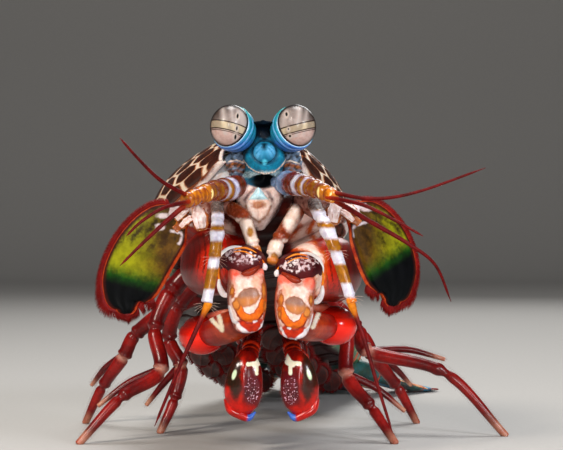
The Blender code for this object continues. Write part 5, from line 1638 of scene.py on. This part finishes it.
        # Painted shade where the carpus turns away from the front, and a brown-orange patch of its own
        # colour on the inner edge.
        flank = union(oval(a, long, (0.98, 1.2), (0.22, 0.55)), 0.5 - 0.85 * np.maximum(facing(carpus), 0))
        knob = union(oval(a, long, (-0.74, 0.25), (0.3, 0.45)), oval(a, long, (0.62, 0.08), (0.42, 0.3)))
        fields = {
            "blush": blush * CARPUS_HALF,
            "side": flank * CARPUS_HALF - 0.1,
            "brown_edge": cells + 0.05,
            "brown": cells - 0.17,
            "orange_edge": crescent * CARPUS_HALF + 0.16,
            "orange": crescent * CARPUS_HALF,
            "crease": stroke(a, long, CARPUS_CREASE, 0.03) * CARPUS_HALF,
            "low": oval(a, long, (0.12, 2.9), (0.74, 0.46)) * CARPUS_HALF,
            "spot_edge": spot + 0.08,
            "spot": spot - 0.12,
            "spot_low": np.minimum(spot, (long - 1.5) * CARPUS_HALF + 0.25 * a),
            "knob": knob * CARPUS_HALF,
        }
        fields = held_back(fields, facing(carpus) >= -0.1, 0.3)
        fields["rim"] = union(*(stroke(a, long, *line) for line in CARPUS_RIM)) * CARPUS_HALF
        fields["red"] = (-facing(carpus) - 0.05) * 2.0
        put("raptor_carpus_" + word, [(carpus, fields)], spotted, "banded_limb")

        palm = tube(folded(PROPODUS, size), 100, 100)
        px, py = seen(palm.points)
        front = facing(palm)
        mark = union(*(stroke(px, py, path, 2.1) for path in size["mark"])) * PIXEL
        palm = raised(palm, 0.2 * bump(np.sin(palm.angle), 0.85, 0.15))
        fields = {
            "shade": 0.5 - abs(palm.share - 0.05) * 4 - 1.2 * np.sin(palm.angle),
            "ember": 0.5 - abs(palm.share - 0.4) * 3,
            "mark": only(front > -0.2, mark),
        }
        put("raptor_propodus_" + word, [(palm, fields)], red, "banded_limb")

        heel = ball(folded(HEEL, size)[0], HEEL_SEMI, 70, 90)
        height = (heel.points[..., 2] - heel.centre[:, None, 2]) / HEEL_SEMI[2]
        heel = raised(heel, -0.18 * bump(height, 0.55, 0.12))
        shade = height * 1.4 - 0.5 + 0.4 * np.sin(heel.angle * 2)
        blade = tube(folded(DACTYL_BLADE, size), 50, 30)
        parts = [
            # Painted glow: a bright band round the heel's middle.
            (heel, {"shade": shade, "hot": 0.6 - abs(height + 0.1) * 1.4}),
            (blade, {"blade": blade.share * 3 - 0.4, "shade": 0.4 - blade.share * 2}),
        ]
        put("raptor_dactyl_" + word, parts, club, "club")


# Raised lines of the saddle, each a mark and then (out from the middle and down in pixels, back and half
# width in millimetres) at each point: white and orange arches, ridges, knob, drop and tongue.
SADDLE_LINES = (
    (
        "arch_white", (-23.0, 2, -2.4, 0.2), (-22.5, -7, -2.7, 0.4), (-18.5, -15, -3.1, 0.46),
        (-10, -20, -3.4, 0.3), (-1, -20.5, -3.7, 0.16),
    ),
    ("arch", (-22.5, 15, -2.1, 0.18), (-24, 5, -2.3, 0.2), (-22, -5, -3.0, 0.18), (-16, -12, -3.75, 0.14)),
    (
        "arch", (-8, -18.5, -4.05, 0.12), (2, -19.5, -3.95, 0.2), (11, -15.5, -3.95, 0.24),
        (18, -8.5, -3.8, 0.22), (23.5, -1, -3.5, 0.18),
    ),
    ("arch", (-9, -15.5, -4.5, 0.08), (1, -16.0, -4.6, 0.12), (10, -12, -4.6, 0.12), (17, -5.5, -4.3, 0.09)),
    ("arch_white", (21, -4, -3.6, 0.22), (22.5, -1, -3.8, 0.42), (22, 2, -3.8, 0.36)),
    (
        "arch_white", (-23.5, 12, -2.3, 0.2), (-23, 19, -2.2, 0.42), (-19.5, 26, -2.3, 0.52),
        (-15, 28.5, -2.7, 0.36),
    ),
    ("tongue", (-5, 9.5, -4.6, 0.3), (2, 7.5, -5.2, 0.6), (10, 3.5, -5.2, 0.55), (17, -1, -4.6, 0.25)),
)


def saddle_parts(size, side):
    """End of the merus: a glossy dark dome under an arched rim, with the rim's hooked outer end."""
    a, b = size["saddle"]
    dome = ball(at(a, b - 4.5, -2.3), (3.95, 2.95, 3.0), 60, 90)
    p, q = seen(dome.points)
    p, q = (p - a) * -side, q - b
    # Painted glints: pale flecks in two patches on the front of the dome.
    cluster = union(oval(p, q, (2, -9), (14, 6)), oval(p, q, (-11, -14), (8, 5))) * PIXEL
    parts = [(dome, {"saddle": 1.0, "fleck": only(facing(dome) > 0.1, np.minimum(cluster, -0.04))})]
    for kind, *path in SADDLE_LINES:
        line = [(*at(a - side * p, b + q, back), thick, thick * 0.8) for p, q, back, thick in path]
        parts.append((tube(line, 60, 20, TOWARDS_FACE), {kind: 1.0}))
    return parts


MAXILLIPED_1 = {
    "right": (
        (-5.6, 7.0, 42.4, 1.2, 1.2), (-4.6, 2.4, 41.8, 1.3, 1.3), (-3.0, 0.0, 40.4, 1.2, 1.2),
        (-1.9, -1.4, 37.2, 1.3, 1.1), (-0.8, -2.0, 33.8, 1.0, 0.9),
    ),
    "left": (
        (6.2, 7.0, 42.8, 1.2, 1.2), (5.2, 3.4, 41.0, 1.3, 1.3), (3.4, 0.4, 38.2, 1.2, 1.2),
        (2.1, -1.2, 36.0, 1.3, 1.1), (1.6, -2.2, 33.4, 1.0, 0.9),
    ),
}
MAXILLIPED_1_MARKS = {
    "right": {"cream": (219.0, 252.0), "spot": (250.0, 232.0), "joint": 220.0, "tip": 246.0},
    "left": {"cream": (240.0, 266.0), "spot": (274.0, 257.0), "joint": 241.0, "tip": 257.0},
}
FEEDING_ARMS = (
    (
        (3.6, 23.0, 33.5, 1.5), (3.4, 17.5, 26.5, 1.3), (3.0, 11.5, 20.6, 1.3), (3.4, 7.2, 18.8, 1.45),
        (3.7, 4.8, 17.4, 1.55),
    ),
    (
        (4.6, 28.0, 32.5, 1.5), (4.4, 23.6, 25.0, 1.3), (4.2, 19.6, 19.0, 1.3), (4.4, 16.0, 17.0, 1.35),
        (4.6, 13.6, 15.9, 1.45),
    ),
    (
        (5.4, 32.5, 31.5, 1.5), (5.4, 29.6, 24.0, 1.3), (5.2, 26.4, 18.0, 1.2), (5.2, 23.4, 15.9, 1.25),
        (5.3, 21.4, 15.0, 1.3),
    ),
)
FEEDING_HANDS = (
    (
        (3.9, 4.2, 18.0, 1.4, 1.1), (4.3, 3.4, 15.6, 2.7, 1.6), (4.7, 3.2, 12.0, 3.2, 1.8),
        (4.8, 3.4, 9.2, 2.5, 1.4), (4.6, 3.8, 7.8, 1.1, 0.8),
    ),
    (
        (4.7, 12.8, 16.0, 1.2, 1.0), (4.8, 12.2, 14.0, 2.4, 1.4), (5.0, 12.0, 11.2, 2.7, 1.5),
        (5.1, 12.4, 8.8, 1.9, 1.2), (5.0, 12.8, 7.8, 0.9, 0.7),
    ),
    (
        (5.4, 20.8, 15.0, 1.1, 0.9), (5.5, 20.2, 13.2, 2.1, 1.2), (5.7, 20.0, 10.8, 2.3, 1.3),
        (5.8, 20.4, 8.6, 1.6, 1.0), (5.7, 20.8, 7.7, 0.8, 0.6),
    ),
)
# How far in from the middle of each hand the white mark's stem lies, as a share of its half width.
HAND_STEMS = {RIGHT: 0.7, LEFT: 0.45}
HAND_BOXES = {RIGHT: (243.5, 18.5, 353.0, 62.0), LEFT: (299.5, 19.5, 352.0, 65.0)}


def make_feeding_limbs(context):
    """First maxillipeds, and three pairs of arms that each end in a flat oval hand with a folded claw."""
    # Slender maxilliped cuticle: cream shell with brown joints.
    # Its brown edge mark is painted shade where the limb turns away from the front.
    slim = cuticle(
        "maxilliped_cuticle", ("#64200E", "#8E3814"),
        blotch=1.4, roughness=0.26, coat=0.12, flesh=0.18, pit=0.35,
        cream=("#E6D6CA", "#D2B4A2", 0.35, 0.15),
        edge=("#8A4A22", "#6A2E12", 0.5, 0.2),
        brown=("#8E5A1E", "#A8702E", 0.2, 0.08),
        tip=("#C8762A", "#A85A1E", 0.3, 0.1),
    )
    # Feeding-hand cuticle: thin dark red shell like stained glass, with white enamel marks.
    # Its small pale pink spots over the plum patch are painted glints.
    glassy = cuticle(
        "feeding_hand_cuticle", ("#7A0C05", "#520805"),
        blotch=1.8, roughness=0.2, coat=0.14, flesh=0.12, pits=0.2, pit=0.4,
        olive=("#241408", "#3A1208", 0.6, 0.2),
        streak=("#B01806", "#8A1005", 0.35, 0.2),
        plum=("#3E0A14", "#5A0E18", 0.6, 0.35),
        dots=("#E8B8C4", "#B47890", 0.04, 0.0),
        rim=("#C01406", "#8A0C05", 0.5, 0.25),
        ring=("#D8380C", "#B02208", 0.15, 0.06),
        oval=("#CBD8B8", "#B4C8A0", 0.1, 0.02),
        white=("#EEE8D2", "#DCD2B0", 0.1, 0.06),
        blue=("#2A4A9C", "#3A62B4", 0.25, 0.05),
    )
    for word, rows in MAXILLIPED_1.items():
        skin = tube(rows, 110, 56, (0.2, 0.3, 1.0), power=2.3)
        marks = MAXILLIPED_1_MARKS[word]
        down = seen(skin.centre[:, None])[1]
        skin = raised(skin, joints(down, (marks["joint"], marks["tip"]), 0.22, 1.8))
        px, py = seen(skin.points)
        top, bottom = marks["cream"]
        cream = np.minimum(py - top, bottom - py) * PIXEL
        if word == "left":
            cream = union(cream, oval(px, py, (291, 214), (9, 18)) * PIXEL)
        fields = {
            "cream": cream,
            # Painted shade: brown where the limb turns away from the front.
            "edge": 0.3 - facing(skin),
            "brown": oval(px, py, marks["spot"], (3.6, 4.8)) * PIXEL,
            "tip": (py - marks["tip"]) * PIXEL,
        }
        put("maxilliped_1_" + word, [(skin, fields)], slim, "banded_limb")
    hairs = []
    for side, word in SIDES:
        for number, (arm, hand) in enumerate(zip(FEEDING_ARMS, FEEDING_HANDS), 3):
            limb = tube(mirrored(arm, side, HANDS_MIDDLE), 90, 44)
            limb = raised(limb, joints(limb.share, (0.5, 0.8), 0.3, 0.02))
            wrist = abs(limb.share - 0.86)
            fields = {
                "ring": 0.25 - abs(wrist - 0.06) * 12,
                "olive": 0.3 - limb.share,
                "streak": 0.4 * np.sin(limb.angle * 3) - 0.2,
            }
            parts = [(limb, fields)]
            palm = tube(mirrored(hand, side, HANDS_MIDDLE), 120, 110, TOWARDS_FACE, power=2.2)
            px, py = seen(palm.points)
            x0, x1 = px.min(), px.max()
            box = HAND_BOXES[side] if number == 3 else ((x0 + x1) / 2, (x1 - x0) / 2, py.min(), np.ptp(py))
            a, b = in_box(px, py, box, side)
            long = b * 3.3
            front = facing(palm)
            ridge = 0.18 * bump(a, 0.02, 0.10) * bump(b, 0.35, 0.3)
            pan = 0.25 * ramp(oval(a, long, (0.42, 2.1), (0.5, 0.85)), 0, 0.3)
            palm = raised(palm, (ridge - pan) * ramp(front, 0, 0.4))
            size = 3.1 * (x1 - x0) / 38.0
            plum = oval(a, long, (0.45, 1.95), (0.48, 0.85))
            stem = HAND_STEMS[side]
            # Painted glints: small pale pink spots over the plum patch.
            dots = union(freckles(a, long, 0.17, 3), freckles(long, a, 0.11, 4))
            fields = {
                "olive": oval(a, long, (-0.5, 1.2), (0.5, 1.3)) * size,
                "streak": stroke(
                    a, long, ((-0.02, 0.3), (0.0, 0.7), (-0.06, 1.3), (0.1, 1.9), (-0.2, 2.5)), 0.1
                ) * size,
                "plum": plum * size,
                "dots": only((plum > 0.06) & (long > 1.3), dots * size),
                "rim": union(
                    (b - 0.82 - 0.1 * a) * 8,
                    stroke(a, long, ((-0.95, 2.0), (-0.75, 2.7), (-0.1, 3.15)), 0.22) * size,
                ),
                "oval": oval(a, long, (-0.5, 1.15), (0.11, 0.27), 0.3) * size,
                "white": union(
                    stroke(a, long, ((stem - 0.45, 0.6), (stem, 0.55), (stem + 0.28, 0.12)), 0.11),
                    stroke(a, long, ((stem - 0.1, 0.62), (stem + 0.15, 0.5)), 0.16),
                    stroke(a, long, ((stem, 0.55), (stem + 0.02, 1.1)), 0.09),
                ) * size,
            }
            parts.append((palm, held_back(fields, front > 0, 0.2)))
            x, y, z, wide, _ = hand[2]
            low = hand[-1][2]
            claw = (
                (x + wide * 0.82, y + 0.2, z - 1.6, 0.7, 0.75),
                (x + wide * 0.68, y - 0.2, z - 3.2, 0.75, 0.85),
                (x + wide * 0.25, y - 0.3, low + 0.15, 0.75, 0.85),
                (x - wide * 0.25, y - 0.2, low - 0.45, 0.6, 0.7),
                (x - wide * 0.62, y - 0.1, low + 0.5, 0.18, 0.2),
            )
            finger = tube(mirrored(claw, side, HANDS_MIDDLE), 70, 36, TOWARDS_FACE)
            parts.append((finger, {"rim": 1.0, "blue": (finger.share - 0.72) * 6}))
            put(f"maxilliped_{number}_{word}", parts, glassy, "limb_red")
            hand = mirrored(hand, side, HANDS_MIDDLE)
            hairs.append(leaf_fringe(hand, TOWARDS_FACE, 60, 0.35, 0.022, 0.45, 0.95))
    bristles("hand_bristles", hairs, bristle_finish(), "limb_red")


LEGS = {
    "walking_leg_1_right": (
        (
            (-12.0, 40.0, 33.0), (-17.6, 39.0, 27.0), (-20.4, 37.0, 20.0), (-19.3, 34.0, 12.6),
            (-26.3, 30.5, 8.0), (-33.5, 27.5, 0.1),
        ),
        ((-19.6, 34.5, 12.8), (-25.2, 34.0, 10.4), (-30.5, 33.0, 6.4)),
    ),
    "walking_leg_1_left": (
        (
            (4.8, 40.0, 33.0), (11.2, 39.0, 27.0), (15.0, 37.0, 20.0), (15.1, 34.0, 11.8),
            (19.5, 31.0, 6.2), (23.6, 28.0, 0.1),
        ),
        ((15.3, 34.5, 12.0), (20.6, 34.5, 9.4), (25.6, 33.5, 5.4)),
    ),
    "walking_leg_2_right": (
        (
            (-12.4, 46.6, 29.5), (-17.0, 47.0, 24.0), (-18.4, 48.0, 17.5), (-16.2, 48.0, 12.4),
            (-17.4, 46.5, 6.2), (-20.0, 44.5, 0.1),
        ),
        ((-16.4, 48.6, 12.6), (-19.8, 50.0, 8.8), (-23.0, 50.6, 4.8)),
    ),
    "walking_leg_2_left": (
        (
            (4.6, 46.6, 29.5), (12.0, 46.8, 25.0), (17.6, 46.2, 19.6), (19.8, 45.0, 15.4),
            (34.0, 42.0, 11.6), (45.0, 40.0, 0.1),
        ),
        ((20.2, 45.6, 15.6), (27.0, 46.0, 15.8), (34.0, 45.5, 14.0)),
    ),
    "walking_leg_3_right": (
        (
            (-12.8, 53.0, 26.4), (-19.6, 54.0, 22.6), (-25.6, 56.0, 18.0), (-28.0, 57.0, 13.6),
            (-32.4, 60.0, 7.4), (-36.0, 62.0, 0.1),
        ),
        ((-28.2, 57.8, 13.8), (-32.0, 61.5, 11.0), (-35.0, 65.0, 7.4)),
    ),
    "walking_leg_3_left": (
        (
            (4.4, 53.0, 26.4), (12.0, 54.0, 22.6), (18.6, 56.0, 18.0), (21.2, 57.0, 13.6),
            (26.0, 60.0, 7.4), (30.0, 62.0, 0.1),
        ),
        ((21.4, 57.8, 13.8), (25.6, 61.5, 11.0), (29.0, 65.0, 7.4)),
    ),
}
LEG_GIRTH = (1.9, 1.7, 1.35, 1.35, 1.05, 0.7)
LEG_BRANCH_GIRTH = (0.8, 0.65, 0.4)
# Way that the top of a leg's section faces.
LEG_TOP = (0.1, 1.0, 0.2)


def make_walking_legs(context):
    """Legs: a round section along each path, pinched at the joints, with a slim second branch."""
    # Walking-leg cuticle: thin deep-red shell with pale joint membranes.
    finish = cuticle(
        "walking_leg_cuticle", ("#680809", "#460506"),
        blotch=2.0, roughness=0.3, coat=0.1, flesh=0.2, pit=0.4, shine=0.25,
        pale=("#CE9C8A", "#B0705C", 0.35, 0.15),
        tip=("#BE8A70", "#9A5640", 0.8, 0.1),
        band=("#90100C", "#A61A12", 0.8, 0.3),
    )
    hairs = []
    for name, (main, branch) in LEGS.items():
        main = [(*point, girth) for point, girth in zip(main, LEG_GIRTH)]
        branch = [(*point, girth) for point, girth in zip(branch, LEG_BRANCH_GIRTH)]
        limb = tube(main, 150, 48, LEG_TOP)
        limb = raised(limb, joints(limb.share, (0.2, 0.4, 0.6, 0.8), 0.3, 0.012))
        twig = tube(branch, 60, 24, LEG_TOP)
        fields = {
            "pale": 0.35 - abs(limb.share - 0.6) * 22,
            "tip": (limb.share - 0.96) * 20,
            "band": 0.4 * np.sin(limb.share * 31) - 0.2,
        }
        put(name, [(limb, fields), (twig, {"tip": (twig.share - 0.85) * 6})], finish, "limb_red")
        hairs.append(leaf_fringe(main, LEG_TOP, 60, 0.6, 0.022, 0.72, 0.97))
        hairs.append(leaf_fringe(branch, LEG_TOP, 40, 0.6, 0.02, 0.4, 1.0))
    bristles("leg_bristles", hairs, bristle_finish(), "limb_red")


def make_rostral_plate(context):
    """Rostral plate: a flat section carried back from its blunt point between the eyes."""
    plate = (
        (0.0, -0.4, 56.4, 1.5, 0.35), (0.0, 0.8, 56.4, 2.1, 0.45), (-0.2, 3.2, 55.9, 3.6, 0.55),
        (-0.5, 5.4, 55.0, 4.6, 0.6),
    )
    skin = tube(plate, 70, 80, power=2.4)
    keel = bump(skin.points[..., 0], 0.0, 0.35) * (np.sin(skin.angle) > 0)
    notch = np.cos(skin.points[..., 0] * 3.2) * ramp(skin.points[..., 1], 0.5, -0.5)
    skin = raised(skin, 0.1 * keel + 0.12 * notch - 0.15)
    # Rostral plate cuticle: as the back, dark blue-green at its front edge.
    finish = cuticle(
        "rostral_cuticle", ("#33461F", "#1F3018"),
        blotch=1.6, roughness=0.8, coat=0.0, pits=2.0, pit=0.3, shine=0.03,
        keel=("#5E6A2C", "#7A7A36", 0.25, 0.1),
        edge=("#B8A27A", "#8C7A54", 0.12, 0.08),
        navy=("#03080E", "#06131E", 0.4, 0.1),
    )
    ragged = 0.15 * np.sin(seen(skin.points)[0])
    under = -np.sin(skin.angle)
    fields = {
        "navy": union(under * 2 + 0.9, (0.5 - skin.share) * 6) + ragged,
        "edge": 0.2 - abs(abs(np.cos(skin.angle)) - 0.985) * 8 - (0.3 - skin.share) * 2,
        "keel": 0.35 - abs(skin.points[..., 0]) - under * 2,
    }
    put("rostral_plate", [(skin, fields)], finish, "green_shell")


# Stage

# Lamps: place in the frame's metres, width, power and colour.
LIGHTS = (
    ("key", (-0.30, -0.44, 0.36), 0.13, 2.7, "#FFF4E8"),
    ("fill", (0.34, -0.42, 0.22), 0.15, 1.8, "#F4F7FF"),
    ("front", (0.03, -0.52, 0.10), 0.12, 1.0, "#FFFFFF"),
    ("top", (0.02, 0.10, 0.52), 0.24, 1.8, "#FFFFFF"),
    ("rim", (0.12, 0.50, 0.30), 0.22, 0.6, "#FFFFFF"),
)


# What the lamps aim at, in the frame's metres.
AIM = (0.0, -0.05, 0.03)


def make_stage(context):
    """Floor that sweeps up into a backdrop by a quarter circle, soft lamps, and the camera."""
    depth, bend, height = 0.9, 0.35, 0.9
    turn = np.linspace(0, np.pi / 2, 24)
    y = np.concatenate([[-1.2, depth], depth + bend * np.sin(turn), [depth + bend]])
    z = np.concatenate([[0, 0], bend - bend * np.cos(turn), [height]])
    x = np.array([-2.0, 2.0])
    points = np.stack([*(grid.ravel() for grid in np.meshgrid(x, y)), np.repeat(z, 2)], 1)
    i = np.arange(len(y) - 1) * 2
    faces = np.stack([i, i + 1, i + 3, i + 2], 1)
    mesh = bpy.data.meshes.new("floor")
    mesh.from_pydata(points.tolist(), [], faces.tolist())
    mesh.shade_smooth()
    # Backdrop paper: matt, pale warm grey, with a faint tooth, drawn coarser than real so that it shows.
    paper = bpy.data.materials.new("backdrop_paper")
    paper.use_nodes = True
    tree = paper.node_tree
    surface = tree.nodes["Principled BSDF"]
    where = add(tree, "TexCoord").outputs["Object"]
    tooth = add(tree, "TexNoise", {"Vector": where, "Scale": 900.0, "Detail": 4.0}).outputs["Fac"]
    tree.links.new(blended(tree, tooth, "#B0AEAA", "#B9B7B3"), surface.inputs["Base Color"])
    bumps = add(tree, "Bump", {"Height": tooth, "Strength": 0.2, "Distance": 0.1 * MM})
    tree.links.new(bumps.outputs["Normal"], surface.inputs["Normal"])
    surface.inputs["Roughness"].default_value = 0.9
    mesh.materials.append(paper)
    floor = bpy.data.objects.new("floor", mesh)
    context.scene.collection.objects.link(floor)

    for name, spot, size, power, colour in LIGHTS:
        lamp = bpy.data.lights.new(name, "AREA")
        lamp.shape = "DISK"
        lamp.size = size
        lamp.energy = power
        lamp.color = linear(colour)[:3]
        body = bpy.data.objects.new(name, lamp)
        context.scene.collection.objects.link(body)
        way = np.array(AIM) - spot
        body.location = spot
        flat = math.hypot(way[0], way[1])
        body.rotation_euler = (math.atan2(flat, -way[2]), 0.0, math.atan2(way[1], way[0]) - math.pi / 2)
    world = bpy.data.worlds.new("studio")
    world.use_nodes = True
    glow = world.node_tree.nodes["Background"]
    glow.inputs["Color"].default_value = linear("#E6E8EC")
    glow.inputs["Strength"].default_value = 0.11
    context.scene.world = world
    context.scene.view_settings.view_transform = "Standard"

    lens = bpy.data.cameras.new("camera")
    lens.sensor_fit = "HORIZONTAL"
    lens.sensor_width = CAMERA_SENSOR
    lens.lens = CAMERA_SENSOR * -CAMERA_PLACE[1] / PICTURE_WIDTH
    lens.clip_start = 0.01
    camera = bpy.data.objects.new("camera", lens)
    camera.location = (np.array(CAMERA_PLACE) - ORIGIN) * MM
    camera.rotation_euler = (math.pi / 2, 0.0, 0.0)
    context.scene.collection.objects.link(camera)
    context.scene.camera = camera


# Add-on


LENGTH = {"unit": "LENGTH", "subtype": "DISTANCE"}
COLOUR = {"size": 4, "min": 0, "max": 1, "subtype": "COLOR"}


class ShrimpSizes(bpy.types.PropertyGroup):
    """Sizes that a user may change."""

    eye_width: FloatProperty(name="Eye width", description="Across one cornea", default=0.0065, **LENGTH)
    eye_height: FloatProperty(name="Eye height", description="Up one cornea", default=0.0072, **LENGTH)
    shell_thickness: FloatProperty(
        name="Shell thickness", description="Wall of the carapace", default=0.00045, **LENGTH
    )
    fringe_length: FloatProperty(
        name="Fringe length", description="Bristles round each antennal scale", default=0.0019, **LENGTH
    )
    scale_bristles: IntProperty(
        name="Scale bristles", description="Bristles along one edge of a scale", default=740, min=10
    )
    tail_bristles: IntProperty(
        name="Tail bristles", description="Bristles along one edge of a tail blade", default=90, min=10
    )


class ShrimpColours(bpy.types.PropertyGroup):
    """Colours that a user may change."""

    cornea: FloatVectorProperty(
        name="Cornea", description="Upper half of the eye", **COLOUR, default=linear("#958781")
    )
    head_blue: FloatVectorProperty(
        name="Head", description="Plate between the eyes", **COLOUR, default=linear("#16627E")
    )
    shell_cream: FloatVectorProperty(
        name="Shell net", description="Net between the spots", **COLOUR, default=linear("#EAD8C4")
    )
    shell_dark: FloatVectorProperty(
        name="Shell spots", description="Dark cells of the carapace", **COLOUR, default=linear("#2B120A")
    )
    limb_red: FloatVectorProperty(
        name="Limbs", description="Red of the striking limbs", **COLOUR, default=linear("#9A1208")
    )
    club_red: FloatVectorProperty(
        name="Clubs", description="Red of the club heels", **COLOUR, default=linear("#DA1E0C")
    )
    scale_green: FloatVectorProperty(
        name="Antennal scales", description="Yellow-green of the leaves", **COLOUR, default=linear("#8C8C10")
    )


def operator(identity, label, build, words):
    """An operator class that runs one build function."""

    def execute(self, context):
        build(context)
        return {"FINISHED"}

    body = {"bl_idname": "shrimp." + identity, "bl_label": label, "__doc__": words, "execute": execute}
    return type("SHRIMP_OT_" + identity, (bpy.types.Operator,), body)


OPERATORS = (
    operator("eyes", "Eyes", make_eyes, "Builds both corneas and the cups that hold them"),
    operator("head", "Head", make_head, "Builds the face from between the eyes to the lip"),
    operator("rostral_plate", "Rostral plate", make_rostral_plate, "Builds the plate between the eyes"),
    operator("carapace", "Carapace", make_carapace, "Builds the carapace and the flesh under it"),
    operator("trunk", "Trunk rings", make_trunk, "Builds the rings of thorax and abdomen"),
    operator("tail", "Tail fan", make_tail, "Builds the telson and the uropods"),
    operator("feelers", "Feelers", make_feelers, "Builds antennules, antennae and antennal scales"),
    operator("raptors", "Striking limbs", make_raptors, "Builds the two raptorial limbs"),
    operator("feeding_limbs", "Feeding limbs", make_feeding_limbs, "Builds the maxillipeds"),
    operator("walking_legs", "Walking legs", make_walking_legs, "Builds the six walking legs"),
    operator("stage", "Stage", make_stage, "Builds floor, lamps and camera"),
)


class SHRIMP_PT_panel(bpy.types.Panel):
    """Lists the pieces in the sidebar."""

    bl_label = "Mantis shrimp"
    bl_space_type = "VIEW_3D"
    bl_region_type = "UI"
    bl_category = "Mantis shrimp"

    def draw(self, context):
        for group in (context.scene.shrimp_sizes, context.scene.shrimp_colours):
            for key in group.__annotations__:
                self.layout.prop(group, key)
        for made in OPERATORS:
            self.layout.operator(made.bl_idname)


CLASSES = (ShrimpSizes, ShrimpColours, *OPERATORS, SHRIMP_PT_panel)


def register():
    for made in CLASSES:
        bpy.utils.register_class(made)
    bpy.types.Scene.shrimp_sizes = PointerProperty(type=ShrimpSizes)
    bpy.types.Scene.shrimp_colours = PointerProperty(type=ShrimpColours)


def unregister():
    del bpy.types.Scene.shrimp_sizes
    del bpy.types.Scene.shrimp_colours
    for made in reversed(CLASSES):
        bpy.utils.unregister_class(made)


def main():
    """Registers the add-on, runs each operator once, and writes the boxes of the solids and the pieces."""
    register()
    for made in OPERATORS:
        getattr(bpy.ops.shrimp, made.bl_idname.split(".")[1])()
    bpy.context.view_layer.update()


if __name__ == "__main__":
    main()
